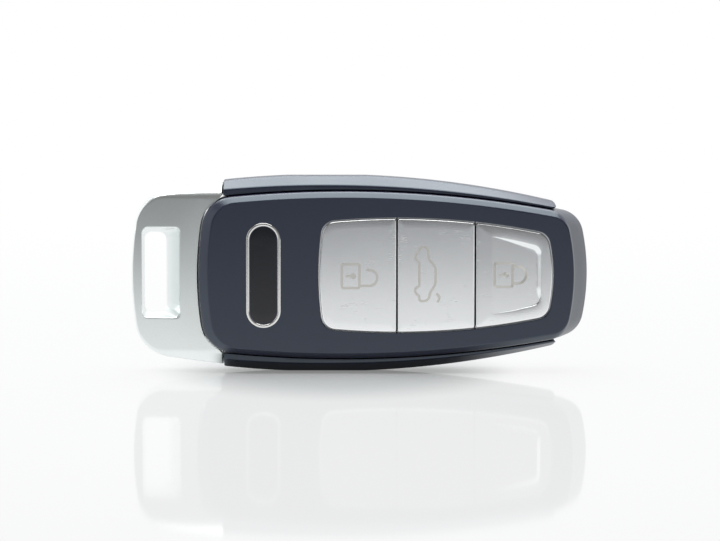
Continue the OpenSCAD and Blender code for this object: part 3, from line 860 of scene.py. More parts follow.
@dataclass
class SideRail:
    """A rail along one long side, with a sloped outer face and a narrow front strip."""

    housing: Housing
    side: Side
    start_x: float = RAIL_START_X
    tip_x: float = flat_box("upper_side_rail")[1].x
    half: float = 4.9
    foot_length: float = 14.0
    ridge_half: float = 1.6
    slope: float = 1.6
    apex: float = -6.0
    radius: float = 176.0
    strip_radius: float = 214.0
    seat_gap: float = 0.05
    ridge_inset: float = 0.004
    inner_edge: float = 0.1
    strip_edge: float = 0.3
    ridge_edge: float = 0.8
    start_bevel: Line = ((0.0, 0.14), (0.05, 0.04))
    start_flat: float = 0.16
    tip_drop: float = 1.2
    tip_share: float = 0.62
    tip_turn: float = math.radians(80)

    def ridge_y(self, x: float) -> float:
        """Distance of the outer ridge from the middle, straight along the foot."""
        fall = sag(self.radius, x - self.apex) - sag(self.radius, self.foot_length / 2)
        return RAIL_HALF_WIDTH - self.ridge_inset - max(0.0, fall)

    def section(self, x: float, squeeze: float, inset: float) -> Ring:
        """The rail's section at a place.

        Args:
            x: the place along the fob.
            squeeze: share of the full depth that is left, for the rounded tip.
            inset: how far the corners are drawn in.

        Returns:
            The ring of points, with rounded corners.
        """
        inner = self.housing.belt_y(x) + self.seat_gap
        ridge = self.ridge_y(x)
        strip = RAIL_HALF_WIDTH - self.slope - sag(self.strip_radius, x - self.apex)
        middle = (inner + ridge) / 2
        top = self.half - inset - self.tip_drop * (1 - squeeze)
        front = [(inner + inset, top, self.inner_edge), (strip - inset, top, self.strip_edge),
                 (ridge - inset, self.ridge_half, self.ridge_edge)]
        corners = front + [(y, -z, r) for y, z, r in reversed(front)]
        points = [Vector((middle + (y - middle) * squeeze, z, r)) for y, z, r in corners]
        ring = []
        for i, p in enumerate(points):
            near = points[i - 1].xy.to_3d()
            far = points[(i + 1) % len(points)].xy.to_3d()
            ring += [bend(near, p.xy.to_3d(), far, p.z, t) for t in spread(0, 1, 5)]
        return [upright(x, self.side.value * p.x, p.y) for p in ring]

    def build(self) -> None:
        """Sweeps the section along the side and rounds it off at the tip."""
        tip_depth = (self.ridge_y(self.tip_x) - self.housing.belt_y(self.tip_x)) * self.tip_share
        turn = self.tip_x - tip_depth
        rings = [self.section(self.start_x + along, 1.0, inset) for along, inset in self.start_bevel]
        rings += [self.section(x, 1.0, 0.0) for x in spread(self.start_x + self.start_flat, turn, 72)]
        for a in spread(0, self.tip_turn, 9)[1:]:
            rings.append(self.section(turn + tip_depth * math.sin(a), math.cos(a), 0.0))
        bm = bmesh.new()
        grow(bm, rings)
        node = f"{self.side.name.lower()}_side_rail"
        Piece(f"{node}_moulding", NAVY, Body.HOUSING, (node,)).make(bm)


@dataclass
class Badge:
    """A plain dark inlay in a thin bright rim."""

    x: float = middle_x("badge_rim")
    half_width: float = 3.1
    half_height: float = 9.4
    rim_width: float = 0.6
    floor_z: float = 6.9
    proud: float = 0.05
    rim_proud: float = 0.12
    rim_edge: float = 0.2
    plate_gap: float = 0.02
    dome: Line = ((0.0, 0.06), (0.25, 0.035), (0.6, 0.018), (1.2, 0.006), (2.0, 0.0))

    def outline(self, inset: float) -> Plan:
        """The badge's outline, drawn in."""
        return pill_plan(self.x, self.half_width - inset, self.half_height - inset)

    def build(self) -> None:
        """Builds the rim as a ring and the inlay as a shallow dome."""
        top = FACE_Z + self.rim_proud
        outer, inner = self.outline(0), self.outline(self.rim_width)
        rim = stack((outer, self.floor_z), (outer, top, self.rim_edge),
                    (inner, top, self.rim_edge), (inner, self.floor_z))
        Piece("badge_bezel", RIM, Body.HOUSING, ("badge_rim",)).make(skin(rim, True))
        edge = self.rim_width + self.plate_gap
        crown = FACE_Z + self.proud
        dome = [(self.outline(edge + inset), crown - drop) for inset, drop in self.dome]
        plate = stack((self.outline(edge), self.floor_z), *dome)
        Piece("badge_inlay", INLAY, Body.HOUSING, ("badge_plate",)).make(skin(plate))


@dataclass
class Stroke:
    """A line of a pictogram: its points lying flat, and whether it closes on itself."""

    points: Line
    closed: bool = False


def circle_stroke(x: float, y: float, radius: float) -> Stroke:
    """A round stroke."""
    points = arc(Vector((x, y)), radius, 0, 2 * math.pi, 20)[:-1]
    return Stroke([(p.x, p.y) for p in points], True)


@dataclass
class Padlock:
    """A padlock pictogram that points along the fob."""

    x: float
    y: float
    height: float = 3.15
    half_width: float = 2.12
    bow_radius: float = 1.55
    leg: float = 0.9
    shackle_shift: float = 0.0
    free_leg: float = 0.0
    corner: float = 0.3
    hole_share: float = 0.64
    hole_radius: float = 0.3
    ward: Sequence[float] = (0.5, 1.35)

    def strokes(self) -> list[Stroke]:
        """Body, shackle and keyhole."""
        right = self.x + self.height
        across = self.height / 2 - self.corner
        along = self.half_width - self.corner
        body = []
        for quarter, (u, v) in enumerate(((1, 1), (-1, 1), (-1, -1), (1, -1))):
            centre = Vector((self.x + self.height / 2 + u * across, self.y + v * along))
            turn = arc(centre, self.corner, quarter * math.pi / 2, (quarter + 1) * math.pi / 2, 4)
            body += [(p.x, p.y) for p in turn]
        middle = self.y + self.shackle_shift
        bow = arc(Vector((right + self.leg, middle)), self.bow_radius, -math.pi / 2, math.pi / 2, 14)
        shackle = [(right, middle - self.bow_radius)] + [(p.x, p.y) for p in bow]
        shackle.append((right + self.free_leg, middle + self.bow_radius))
        hole = self.x + self.hole_share * self.height
        keyhole = [(hole - reach, self.y) for reach in self.ward]
        return [Stroke(body, True), Stroke(shackle), circle_stroke(hole, self.y, self.hole_radius),
                Stroke(keyhole)]


@dataclass
class OpenBootCar:
    """A car seen from the side with its boot lid up, pointing along the fob."""

    x: float
    y: float

    def moved(self, points: Line) -> list[tuple[float, float]]:
        """Points of the drawing, at its place."""
        return [(self.x + u, self.y + v) for u, v in points]

    def strokes(self) -> list[Stroke]:
        """Body outline with its wheels, and the raised lid."""
        outline = [
            (0.0, -2.1), (0.0, 2.1), (-0.3, 2.3), (-0.6, 2.6), (-0.7, 3.0), (-0.6, 3.4), (-0.3, 3.75),
            (-0.05, 3.95), (0.0, 4.4), (0.25, 4.75), (0.7, 4.9), (1.2, 4.75), (1.5, 4.3), (1.62, 3.4),
            (1.75, 2.6), (2.25, 2.0), (2.7, 1.5), (2.9, 0.8), (2.92, -1.2), (2.75, -2.0), (2.4, -2.6),
            (1.95, -3.3), (1.75, -4.2), (1.4, -4.65), (0.6, -4.85), (0.15, -4.75), (0.0, -4.4),
            (-0.05, -3.85), (-0.35, -3.65), (-0.65, -3.35), (-0.75, -2.95), (-0.65, -2.55),
            (-0.3, -2.25)]
        lid = [(3.0, -3.5), (3.35, -3.75), (3.6, -4.2), (3.5, -4.65), (3.2, -5.0)]
        return [Stroke(self.moved(outline), True), Stroke(self.moved(lid))]


@dataclass
class ButtonRow:
    """Three satin caps side by side in one bowed window."""

    flange_reach: float = 0.7
    end_x: float = flat_box("lock_button_cap")[1].x - flange_reach
    start_x: float = flat_box("unlock_button_cap")[0].x + flange_reach
    gap: float = 0.36
    joint_reach: float = 0.07
    length: float = (end_x - start_x - 2 * gap) / 3
    width: float = 20.2
    apex_shift: float = 7.0
    apex: float = start_x + length + gap + length / 2 - apex_shift
    side_radius: float = 130.0
    end_radius: float = 28.0
    tail_radius: float = 60.0
    straight: float = 3000.0
    end_corner: float = 2.5
    tail_corner: float = 2.5
    small_corner: float = 0.35
    top_z: float = 7.63
    foot_z: float = 5.2
    flange_z: float = 5.9
    edge: float = 0.3
    window_gap: float = 0.25
    dish_margin: float = 2.0
    dish_length: float = 8.7
    dish_apex_shift: float = 24.0
    dish_to: float = end_x - dish_margin
    dish_from: float = dish_to - dish_length
    dish_half: float = 8.25
    dish_apex: float = dish_to - dish_apex_shift
    dish_side_radius: float = 91.0
    dish_end_radius: float = 200.0
    dish_corner: float = 1.7
    dish_tail_corner: float = 0.25
    dish_depth: float = 0.55
    dish_least: float = 0.02
    dish_wall: float = 0.7
    dish_edge: float = 0.15
    dish_foot: float = 0.2
    wall_from: float = 2.2
    wall_fade: float = 2.6
    wall_loss: float = 0.88
    top_inset: float = 1.6
    lock_lean: float = 0.009
    unlock_mark_at: Span = (-3.17, -0.1)
    boot_mark_at: Span = (10.64, 0.26)
    lock_mark_at: Span = (24.1, 0.1)
    line_width: float = 0.46
    line_height: float = 0.012
    line_step: float = 0.002
    line_sink: float = 0.02

    def row_plan(self, reach: float) -> Plan:
        """The plan of the whole row, grown by a reach."""
        return Bar(
            self.end_x + reach, self.start_x - reach, self.width / 2 + reach, self.apex,
            self.side_radius + reach, self.end_radius, self.end_corner + reach,
            self.tail_radius, self.tail_corner + reach).plan()

    def window(self) -> Plan:
        """The window in the face."""
        return self.row_plan(self.window_gap)

    def centre_x(self, i: int) -> float:
        """The middle of one cap along the fob."""
        return self.start_x + i * (self.length + self.gap) + self.length / 2

    def cap_plan(self, i: int, inset: float, reach: float = 0.0) -> Plan:
        """The plan of one cap.

        Args:
            i: 0 next to the badge, 2 at the tip.
            inset: how far the outline is drawn in.
            reach: how far the flange stands out.

        Returns:
            The closed outline.
        """
        first = self.start_x + i * (self.length + self.gap)
        at_tip = i == 2
        at_badge = i == 0
        return Bar(
            first + self.length - inset + (reach if at_tip else self.joint_reach),
            first + inset - (reach if at_badge else self.joint_reach),
            self.width / 2 - inset + reach, self.apex, self.side_radius - inset + reach,
            self.end_radius if at_tip else self.straight,
            self.end_corner - inset + reach if at_tip else self.small_corner,
            self.tail_radius if at_badge else self.straight,
            self.tail_corner - inset + reach if at_badge else self.small_corner).plan()

    def flat_z(self, p: Vector) -> float:
        """Height of a flat cap at a place."""
        return self.top_z

    def dish_share(self, p: Vector) -> float:
        """Share of the thumb dish's full depth that is reached at a place."""
        return max(self.dish_least, (p.x - self.dish_from) / (self.dish_to - self.dish_from))

    def lock_z(self, p: Vector) -> float:
        """Height of the last cap, which leans back a little, at a place."""
        return self.top_z - self.lock_lean * (p.y + self.width / 2)

    def dish_z(self, p: Vector) -> float:
        """Height of the thumb dish's floor at a place."""
        return self.lock_z(p) - self.dish_depth * self.dish_share(p)

    def wall_share(self, p: Vector) -> float:
        """Share of the dish wall's full width at a place, which fades towards the lower corner."""
        below = min(1.0, max(0.0, (-p.y - self.wall_from) / self.wall_fade))
        return 1 - self.wall_loss * below ** 2 * (3 - 2 * below)

    def dish_plan(self, inset: float) -> Plan:
        """The outline of the thumb dish, drawn in where it is deep."""
        outer, inner = [Bar(
            self.dish_to - reach, self.dish_from, self.dish_half - reach, self.dish_apex,
            self.dish_side_radius - reach, self.dish_end_radius, self.dish_corner - reach,
            self.straight, self.dish_tail_corner).plan() for reach in (0.0, inset)]
        return [a.lerp(b, self.dish_share(a) * self.wall_share(a)) for a, b in zip(outer, inner)]

    def cap(self, i: int) -> Mesh:
        """One cap with its flange, and the thumb dish in the last one."""
        flange = self.cap_plan(i, 0.0, self.flange_reach)
        side = self.cap_plan(i, 0.0)
        top = self.lock_z if i == 2 else self.flat_z
        stations = stack((flange, self.foot_z), (flange, self.flange_z), (side, self.flange_z),
                         (side, top, self.edge))
        if i == 2:
            stations += stack((self.dish_plan(0.0), top, self.dish_edge),
                              (self.dish_plan(self.dish_wall), self.dish_z, self.dish_foot),
                              (self.dish_plan(2 * self.dish_wall), self.dish_z))
        else:
            stations += stack((self.cap_plan(i, self.top_inset), top))
        return skin(stations, steps=10)

    def ribbon(self, bm: Mesh, stroke: Stroke, floor: Height, height: float) -> None:
        """Adds one stroke of a pictogram as a thin raised line.

        Args:
            bm: the mesh that takes the line.
            stroke: the line's points.
            floor: height of the surface under a point.
            height: how far the line stands above that surface.
        """
        points = [Vector(p) for p in stroke.points]
        count = len(points)
        rings = []
        for k, p in enumerate(points):
            before = points[k - 1] if k or stroke.closed else p
            after = points[(k + 1) % count] if k < count - 1 or stroke.closed else p
            along = (after - before).normalized()
            across = Vector((-along.y, along.x)) * self.line_width / 2
            low = floor(p) - self.line_sink
            high = floor(p) + height
            corners = ((across, low), (across, high), (-across, high), (-across, low))
            rings.append([upright(p.x + a.x, p.y + a.y, z) for a, z in corners])
        grow(bm, rings, stroke.closed)

    def pictogram(self, name: str, body: Body, strokes: Sequence[Stroke], floor: Height) -> None:
        """Lays a pictogram on a cap.

        Args:
            name: the piece's name.
            body: the button that carries it.
            strokes: the lines of the drawing.
            floor: height of the cap under a point.
        """
        bm = bmesh.new()
        for k, stroke in enumerate(strokes):
            self.ribbon(bm, stroke, floor, self.line_height + k * self.line_step)
        Piece(name, MARKING, body).make(bm)

    def build(self) -> None:
        """Builds the three caps and their pictograms."""
        for i, body in enumerate(BUTTONS):
            node = f"{body.value}_cap"
            Piece(f"{node}_shell", CAP_SILVER, body, (node,)).make(self.cap(i))
        opened = Padlock(*self.unlock_mark_at, bow_radius=1.42, leg=1.75, shackle_shift=-0.32,
                         free_leg=1.2)
        car = OpenBootCar(*self.boot_mark_at)
        closed = Padlock(*self.lock_mark_at)
        self.pictogram("unlock_mark", Body.UNLOCK, opened.strokes(), self.flat_z)
        self.pictogram("boot_mark", Body.BOOT, car.strokes(), self.flat_z)
        self.pictogram("lock_mark", Body.LOCK, closed.strokes(), self.dish_z)


@dataclass
class ButtonMat:
    """The rubber mat under the caps: a skirt with a thin web, and three domes."""

    buttons: ButtonRow
    margin: float = 0.9
    skirt: float = 0.8
    low_z: float = flat_box("button_mat")[0].z
    high_z: float = flat_box("button_mat")[1].z
    web_z: float = 4.4
    web_top: float = 4.8
    dome_radius: float = 2.6
    dome_crown: float = 1.7
    dome_top: float = 5.19
    edge: float = 0.1
    dome_edge: float = 0.3
    pressed: float = 0.1

    def build(self) -> None:
        """Builds the skirt and web as one skin, and the domes on it."""
        inner = self.buttons.row_plan(self.margin)
        outer = self.buttons.row_plan(self.margin + self.skirt)
        heights = ((inner, self.web_z), (inner, self.low_z), (outer, self.low_z),
                   (outer, self.high_z), (inner, self.high_z), (inner, self.web_top))
        web = stack(*[(plan, z, self.edge) for plan, z in heights])
        Piece("button_mat_web", RUBBER, Body.HOUSING, ("button_mat",)).make(skin(web))
        for i, body in enumerate(BUTTONS):
            x = self.buttons.centre_x(i)
            dome = stack((round_plan(x, self.dome_radius), self.web_top),
                         (round_plan(x, self.dome_crown), self.dome_top, self.dome_edge),
                         (round_plan(x, self.dome_crown / 2), self.dome_top))
            made = Piece(f"{body.value}_dome", RUBBER, Body.HOUSING).make(skin(dome))
            upright(x, 0, self.web_top)
            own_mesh(made)


@dataclass
class LoopHead:
    """The satin head with its bevelled key-ring slot, and the tongue that carries the blade."""

    housing: Housing
    half: float = 17.35
    apex: float = -6.0
    radius: float = 176.0
    end_radius: float = 60.0
    corner: float = 7.0
    gap: float = 0.2
    horn_x: float = RAIL_START_X - gap
    edge_z: float = 1.6
    edge_reach: float = 1.7
    end_reach: float = 1.0
    edge_rise: float = 4.0
    crown_z: float = 5.4
    crown_half: float = 13.65
    crown_roll: float = 1.8
    crown_bow: float = 0.0016
    crown_blend: float = 0.8
    taper: float = 0.1
    rings: int = 26
    rim_edge: float = 0.3
    slot_left: float = -38.95
    slot_right: float = -35.0
    slot_half: float = 7.25
    slot_floor: float = -2.0
    slot_corner: float = 1.4
    slot_edge: float = 0.2
    bevel_left: float = slot_left - 0.08
    bevel_right: float = -32.2
    bevel_half: float = 8.05
    bevel_rise: float = 0.3
    bevel_corner: float = 1.0
    bevel_edge: float = 0.5
    tongue_half: float = 4.5
    tongue_low: float = -2.1
    tongue_high: float = 1.2
    tongue_end: float = TAIL_X + 9.5
    tongue_root: float = TAIL_X - 0.7
    tongue_gap: float = 0.03
    tongue_edge: float = 0.25
    ear_inset: float = 1.2
    ear_length: float = 1.6
    ear_reach: float = 1.1
    ear_low: float = -1.35
    ear_high: float = -0.35
    ear_edge: float = 0.15

    def side_y(self, x: float) -> float:
        """Half of the head's width at a place."""
        return self.half - sag(self.radius, x - self.apex)

    def centres(self) -> tuple[Vector, Vector]:
        """The centres of the upper side's arc and the loop end's arc."""
        return Vector((self.apex, self.half - self.radius)), Vector((LOOP_X + self.end_radius, 0))

    def corner_centre(self) -> Vector:
        """The centre of the upper corner's rounding."""
        side, tail = self.centres()
        return crossing(side, self.radius - self.corner, tail, self.end_radius - self.corner, -1)

    def margin(self, p: Vector) -> float:
        """Distance of a place from the head's outline, as a share of the rolled edge's reach."""
        here = Vector((p.x, abs(p.y)))
        out = here - self.corner_centre()
        if out.x < 0 and out.y > 0:
            turned = (out.x / out.length) ** 2
            reach = self.edge_reach + (self.end_reach - self.edge_reach) * turned
            return max(0.0, self.corner - out.length) / reach
        from_end = (here.x - LOOP_X - sag(self.end_radius, here.y)) / self.end_reach
        return max(0.0, min((self.side_y(here.x) - here.y) / self.edge_reach, from_end))

    def height(self, p: Vector) -> float:
        """Height of the crowned front at a place."""
        over = max(0.0, abs(p.y) - self.crown_half)
        crown = self.crown_z - self.crown_bow * p.y ** 2 - over ** 2 / (2 * self.crown_roll)
        crown -= self.taper * max(0.0, TAIL_X - p.x)
        roll = min(1.0, self.margin(p))
        edge = self.edge_z + self.edge_rise * math.sqrt(roll * (2 - roll))
        return least(crown, edge, self.crown_blend)

    def outline(self) -> Plan:
        """The head's plan: round the pocket for the shell, over the horn and back to the loop end."""
        pocket = self.housing.plan(-self.gap, 0, -self.gap)
        upper = pocket[len(pocket) // 2::-1]
        inner = [p for p in upper if p.x < self.horn_x]
        inner.append(Vector((self.horn_x, self.housing.belt_y(self.horn_x) + self.gap)))
        side, tail = self.centres()
        corner = self.corner_centre()
        horn = Vector((self.horn_x, self.side_y(self.horn_x)))
        plan = even(inner, 28)
        plan += even([inner[-1], horn], 7)[1:]
        plan += arc(side, self.radius, bearing(horn - side), bearing(corner - side), 20)[1:]
        plan += arc(corner, self.corner, bearing(corner - side), bearing(corner - tail), 14)[1:]
        plan += arc(tail, self.end_radius, bearing(corner - tail), math.pi, 14)[1:]
        return mirrored(plan)

    def front(self) -> list[Station]:
        """The stations from the middle of the slot's wall out to the edge of the head."""
        through = pad_plan(self.slot_left, self.slot_right, self.slot_half, self.slot_corner)
        bevel = pad_plan(self.bevel_left, self.bevel_right, self.bevel_half, self.bevel_corner)
        mouth = [p + Vector((0, self.bevel_rise)) for p in bevel]
        rim = self.outline()
        stations = stack((through, self.slot_floor, self.slot_edge),
                         (mouth, self.height, self.bevel_edge))
        for t in spread(0, 1, self.rings)[1:]:
            ring = [a.lerp(b, t) for a, b in zip(mouth, rim)]
            stations += stack((ring, self.height, self.rim_edge if t == 1 else 0.0))
        return stations

    def build(self) -> None:
        """Builds the head as one skin round the slot, with the tongue and its ears."""
        front = self.front()
        back = [Station([Vector((p.x, -p.y, p.z)) for p in s.ring], s.soft)
                for s in reversed(front[1:])]
        bm = skin(front + back, True)
        block(bm, (self.tongue_root, -self.tongue_half, self.tongue_low + self.tongue_gap),
              (self.tongue_end, self.tongue_half, self.tongue_high - self.tongue_gap), self.tongue_edge)
        ear_x = self.tongue_end - self.ear_inset
        ear_y = self.tongue_half + self.ear_reach
        block(bm, (ear_x - self.ear_length, -ear_y, self.ear_low),
              (ear_x, ear_y, self.ear_high), self.ear_edge)
        Piece("loop_head_casting", SILVER, Body.KEY, ("loop_head",)).make(bm)


@dataclass
class RearCover:
    """The back of the fob, with the opening for the release button."""

    housing: Housing
    back_chamfer: float = 1.9
    chamfer_height: float = 1.1
    rail_half: float = 4.9
    shoulder_z: float = -rail_half - 0.3
    gap: float = 0.15
    seam_edge: float = 0.12
    edge: float = 0.5
    flat_inset: float = 4.0
    flank_share: float = 0.3
    shoulder_share: float = 0.8
    bevel_share: float = 0.9
    bevel_side: float = 0.7
    bevel_end: float = 0.5
    opening_length: float = 7.5
    opening_width: float = 9.5
    opening_corner: float = 1.75

    def build(self) -> None:
        """Builds the cover as a cup and cuts the openings."""
        h = self.housing
        back_z = -FACE_Z
        seam_z = h.parting_z - self.gap
        back = (h.side_lean + self.back_chamfer, h.tip_lean + self.back_chamfer, self.back_chamfer)
        flat = (h.side_lean + self.flat_inset, h.tip_lean + self.flat_inset, self.flat_inset)
        stations = stack(
            (h.cavity(), back_z + h.wall), (h.cavity(), seam_z),
            (h.plan(self.gap, 0, self.gap), seam_z, self.seam_edge),
            (h.plan(self.gap, self.flank_share * h.tip_lean, self.gap), -self.rail_half / 2),
            (h.plan(h.side_lean, self.shoulder_share * h.tip_lean, self.gap + h.tail_lean),
             self.shoulder_z, self.edge),
            (h.plan(h.side_lean + self.bevel_side, h.tip_lean + self.bevel_end,
                    self.gap + self.bevel_end),
             back_z + self.bevel_share * self.chamfer_height, self.edge),
            (h.plan(*back), back_z, self.edge), (h.plan(*flat), back_z))
        opening = pad_plan(RELEASE_X - self.opening_length / 2, RELEASE_X + self.opening_length / 2,
                           self.opening_width / 2, self.opening_corner)
        window = skin(stack((opening, back_z - OVERCUT), (opening, back_z + h.wall + OVERCUT)))
        Piece("rear_cover_moulding", NAVY, Body.COVER, ("rear_cover",),
              (window, h.tongue_way())).make(skin(stations))


@dataclass
class ReleaseButton:
    """The release for the emergency key, with three grip grooves."""

    half_length: float = 3.5
    half_width: float = 4.5
    corner: float = 1.5
    face_z: float = -7.4
    flange_z: float = -5.9
    top_z: float = -5.1
    flange_ends: float = 0.5
    flange_sides: float = 0.8
    crown_inset: float = 0.8
    crown_corner: float = 0.9
    edge: float = 0.3
    groove_pitch: float = 1.6
    groove_half: float = 0.4
    groove_inset: float = 1.2
    groove_depth: float = 0.3
    groove_edge: float = 0.12
    well_radius: float = 2.4
    well_z: float = -6.6

    def pad(self, ends: float, sides: float, corner: float) -> Plan:
        """The button's plan, grown at its ends and its sides."""
        length = self.half_length + ends
        return pad_plan(RELEASE_X - length, RELEASE_X + length, self.half_width + sides, corner)

    def build(self) -> None:
        """Builds the cap on its flange and cuts the grooves and the spring's well."""
        cap = self.pad(0.0, 0.0, self.corner)
        flange = self.pad(self.flange_ends, self.flange_sides, self.corner)
        crown = self.pad(-self.crown_inset, -self.crown_inset, self.crown_corner)
        stations = stack((flange, self.top_z), (flange, self.flange_z), (cap, self.flange_z),
                         (cap, self.face_z, self.edge), (crown, self.face_z))
        reach = self.half_width - self.groove_inset
        grooves = []
        for i in (-1, 0, 1):
            cutter = bmesh.new()
            x = RELEASE_X + i * self.groove_pitch
            block(cutter, (x - self.groove_half, -reach, self.face_z - OVERCUT),
                  (x + self.groove_half, reach, self.face_z + self.groove_depth), self.groove_edge)
            grooves.append(cutter)
        well = round_plan(RELEASE_X, self.well_radius)
        bore = skin(stack((well, self.well_z), (well, self.top_z + OVERCUT)))
        Piece("release_button_cap", NAVY, Body.RELEASE, ("release_button",),
              (*grooves, bore)).make(skin(stations))


@dataclass
class ReleaseSpring:
    """The wire spring between the release button and its shelf."""

    radius: float = 1.9
    wire: float = 0.36
    turns: float = 3.5
    steps: int = 98
    travel: float = 1.2
    seat_z: float = flat_box("release_spring")[0].z
    shelf_z: float = flat_box("release_spring")[1].z

    def build(self) -> None:
        """Spins the wire along its helix."""
        bm = bmesh.new()
        section = bmesh.ops.create_circle(bm, cap_ends=True, radius=self.wire / 2 * MM, segments=12)
        length = self.shelf_z - self.seat_z
        start = upright(RELEASE_X + self.radius, 0, self.seat_z + self.wire / 2)
        bmesh.ops.translate(bm, verts=section["verts"], vec=start)
        step = Vector((0, -(length - self.wire) / self.steps * MM, 0))
        bmesh.ops.spin(bm, geom=bm.verts[:] + bm.edges[:] + bm.faces[:], cent=upright(RELEASE_X, 0, 0),
                       axis=(0, 1, 0), dvec=step, angle=2 * math.pi * self.turns, steps=self.steps)
        made = Piece("release_coil", STEEL, Body.HOUSING, ("release_spring",)).make(bm)
        upright(RELEASE_X, 0, self.shelf_z)
        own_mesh(made)


@dataclass
class InnerWorks:
    """The pieces inside, which keep their solids and get their finishes."""

    finishes: tuple[tuple[Finish, tuple[str, ...]], ...] = (
        (BLACK, ("carrier_frame", "switch_bodies", "unlock_switch_plunger", "boot_switch_plunger",
                 "lock_switch_plunger")),
        (BOARD, ("circuit_board",)),
        (FERRITE, ("antenna_core",)),
        (COPPER, ("antenna_windings",)),
        (RESIN, ("controller_chip", "radio_chip")),
        (CERAMIC, ("board_components",)),
        (STEEL, ("crystal_can", "coin_cell", "positive_contact", "negative_contact", "emergency_blade",
                 "blade_pin", "latch_yoke")),
    )

    def dress(self) -> None:
        """Gives each solid its finish."""
        for finish, nodes in self.finishes:
            for name in nodes:
                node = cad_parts[name]
                node.data.materials.clear()
                node.data.materials.append(finish.material())
                LOG.info("%s: keeps its solid, in %s", name, finish.name)


@dataclass(frozen=True)
class Panel:
    """A soft light: its name, radiance, size and place, and whether glossy surfaces mirror it."""

    name: str
    radiance: float
    size: Span
    place: Place
    shows: bool = True

    def hang(self, target: Place) -> None:
        """Adds the lamp, turned to the target."""
        lamp = bpy.data.lights.new(self.name, "AREA")
        lamp.shape = "RECTANGLE"
        lamp.size, lamp.size_y = self.size
        lamp.energy = self.radiance * math.pi * self.size[0] * self.size[1]
        panel = bpy.data.objects.new(self.name, lamp)
        panel.location = self.place
        panel.visible_glossy = self.shows
        panel.rotation_euler = (Vector(target) - Vector(self.place)).to_track_quat("-Z", "Y").to_euler()
        bpy.context.scene.collection.objects.link(panel)


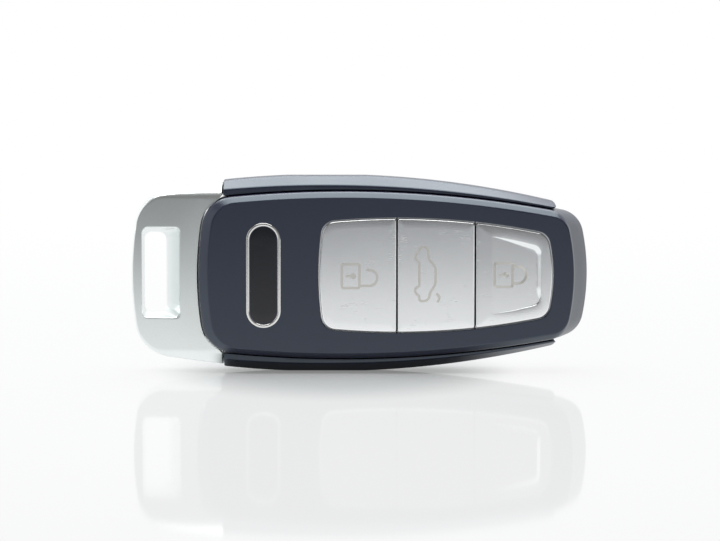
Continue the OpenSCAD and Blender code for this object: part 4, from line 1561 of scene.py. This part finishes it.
@dataclass
class Studio:
    """A white floor with a gloss, soft light from above and the camera."""

    distance: float = 0.6
    elevation: float = 4.1
    pixels_per_mm: float = 5.54
    frame_width: float = 720.0
    target: Place = (0.00007, 0.0, 0.01802)
    world_level: float = 0.2
    room_tone: Colour = (1.0, 0.98, 0.96)
    sensor: float = 36.0
    clip: Span = (0.01, 50.0)
    floor_half: float = 2.5
    floor_front: float = -2.5
    bend_y: float = 0.9
    bend_radius: float = 0.7
    backdrop_top: float = 2.5
    shade_shift: float = 0.004
    shade_reach: Span = (0.034, 0.055)
    shade_span: Span = (0.16, 1.0)
    contact_left: Span = (0.0235, 0.027)
    contact_right: Span = (0.016, 0.034)
    contact_depth: Span = (0.006, 0.013)
    near_turn: float = 0.6
    near_span: Span = (-0.5, -0.1)
    far_span: Span = (0.1, 0.5)
    front_tone: Colour = (0.15, 0.16, 0.18)
    floor_tone: Colour = (0.43, 0.455, 0.46)
    front_glare: Colour = (0.19, 0.2, 0.225)
    contact_light: float = 0.05
    shade_light: float = 0.3
    near_light: float = 0.86
    gloss: float = 0.31
    gloss_loss: float = 0.25
    gloss_roughness: float = 0.05
    gloss_index: float = 1.45
    lamps: tuple[Panel, ...] = (
        Panel("top_panel", 3.4, (0.8, 1.04), (0.0, 0.12, 0.66)),
        Panel("left_panel", 0.7, (1.4, 0.6), (-0.75, 0.05, 0.3)),
        Panel("back_panel", 3.0, (1.2, 0.5), (0.0, 0.85, 0.5), False),
    )

    def floor_finish(self) -> bpy.types.Material:
        """White gloss floor, shaded under the fob and grey well in front of it."""
        made = bpy.data.materials.new("studio_white")
        made.use_nodes = True
        graph = Graph(made.node_tree)
        where = graph.node("ShaderNodeTexCoord", {}, {}).outputs["Object"]
        parts = graph.node("ShaderNodeSeparateXYZ", {}, {0: where})
        x, y = [Value(graph, parts.outputs[i]) for i in (0, 1)]
        across = graph.math("ABSOLUTE", x + self.shade_shift, 0.0)
        depth = graph.math("ABSOLUTE", y, 0.0)
        near = graph.ease(y + x * self.near_turn, *self.near_span)
        far = graph.ease(y, *self.far_span)
        shares = [value * (1 / reach) for value, reach in zip((across, depth), self.shade_reach)]
        around = graph.ease(shares[0] * shares[0] + shares[1] * shares[1], *self.shade_span)
        beside = graph.ease(0 - x, *self.contact_left) | graph.ease(x, *self.contact_right)
        under = beside | graph.ease(depth, *self.contact_depth)
        path = graph.node("ShaderNodeLightPath", {}, {})
        kinds = ("Camera", "Glossy", "Transmission")
        rays = {kind: Value(graph, path.outputs[f"Is {kind} Ray"]) for kind in kinds}
        tone = graph.blend(near, self.front_tone, self.floor_tone)
        glare = graph.blend(near | rays["Camera"], self.front_glare, (1.0, 1.0, 1.0))
        lights = (self.contact_light, self.shade_light, self.near_light)
        contact, shade, front = [low + share * (1 - low)
                                 for low, share in zip(lights, (under, around, far))]
        bounced = (rays["Glossy"] | rays["Transmission"]) * contact
        seen = rays["Camera"] * shade * front
        lit = graph.node("ShaderNodeBsdfDiffuse", {}, {"Color": tone})
        glow = graph.node("ShaderNodeEmission", {}, {"Color": glare, "Strength": 1.0})
        inputs = {0: seen | bounced, 1: lit.outputs[0], 2: glow.outputs[0]}
        base = graph.node("ShaderNodeMixShader", {}, inputs)
        gloss = graph.node("ShaderNodeBsdfGlossy", {},
                           {"Color": (1, 1, 1, 1), "Roughness": self.gloss_roughness})
        fresnel = graph.value("ShaderNodeFresnel", {}, {"IOR": self.gloss_index})
        share = fresnel * (self.gloss - rays["Glossy"] * self.gloss_loss)
        inputs = {0: share, 1: base.outputs[0], 2: gloss.outputs[0]}
        mixed = graph.node("ShaderNodeMixShader", {}, inputs)
        graph.node("ShaderNodeOutputMaterial", {}, {"Surface": mixed.outputs[0]})
        return made

    def stage(self) -> None:
        """Builds the floor and the curved backdrop behind it."""
        bm = bmesh.new()
        radius = self.bend_radius
        verts = [bm.verts.new((x, self.floor_front, 0.0)) for x in (-self.floor_half, self.floor_half)]
        edge = bm.edges.new(verts)
        path = [(self.bend_y, 0.0)]
        path += [(self.bend_y + radius * math.sin(a), radius - radius * math.cos(a))
                 for a in spread(0, math.pi / 2, 24)[1:]]
        path.append((self.bend_y + radius, self.backdrop_top))
        y, z = self.floor_front, 0.0
        for next_y, next_z in path:
            grown = bmesh.ops.extrude_edge_only(bm, edges=[edge])["geom"]
            fresh = [g for g in grown if isinstance(g, bmesh.types.BMVert)]
            bmesh.ops.translate(bm, verts=fresh, vec=Vector((0, next_y - y, next_z - z)))
            edge = next(e for e in bm.edges if all(v in fresh for v in e.verts))
            y, z = next_y, next_z
        floor = as_object("studio_floor", bm)
        if floor.data.polygons[0].normal.z < 0:
            floor.data.flip_normals()
        floor.data.shade_smooth()
        floor.data.materials.append(self.floor_finish())

    def light(self) -> None:
        """Hangs the panels and adds the even light of the room."""
        for lamp in self.lamps:
            lamp.hang(self.target)
        world = bpy.data.worlds.new("studio_room")
        world.use_nodes = True
        graph = Graph(world.node_tree)
        inputs = {"Color": (*self.room_tone, 1), "Strength": self.world_level}
        room = graph.node("ShaderNodeBackground", {}, inputs)
        graph.node("ShaderNodeOutputWorld", {}, {"Surface": room.outputs[0]})
        bpy.context.scene.world = world

    def camera(self) -> None:
        """Sets the camera at the photograph's viewing angle."""
        lens = bpy.data.cameras.new("camera")
        lens.sensor_width = self.sensor
        lens.lens = self.sensor * self.distance / (self.frame_width / self.pixels_per_mm * MM)
        lens.clip_start, lens.clip_end = self.clip
        eye = bpy.data.objects.new("camera", lens)
        lift = math.radians(self.elevation)
        back = Vector((0, -math.cos(lift), math.sin(lift)))
        eye.location = Vector(self.target) + back * self.distance
        eye.rotation_euler = (-back).to_track_quat("-Z", "Y").to_euler()
        bpy.context.scene.collection.objects.link(eye)
        bpy.context.scene.camera = eye

    def build(self) -> None:
        """Builds the stage, the light and the camera."""
        self.stage()
        self.light()
        self.camera()
        bpy.context.scene.view_settings.view_transform = "Standard"


def main() -> None:
    """Builds the fob and its studio."""
    logging.basicConfig(level=logging.INFO, format="%(name)s: %(message)s")
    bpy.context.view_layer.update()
    Studio().build()
    housing = Housing()
    buttons = ButtonRow()
    FrontShell(housing, buttons.window()).build()
    for side in Side:
        SideRail(housing, side).build()
    Badge().build()
    buttons.build()
    ButtonMat(buttons).build()
    LoopHead(housing).build()
    RearCover(housing).build()
    ReleaseButton().build()
    ReleaseSpring().build()
    InnerWorks().dress()


if __name__ == "__main__":
    main()
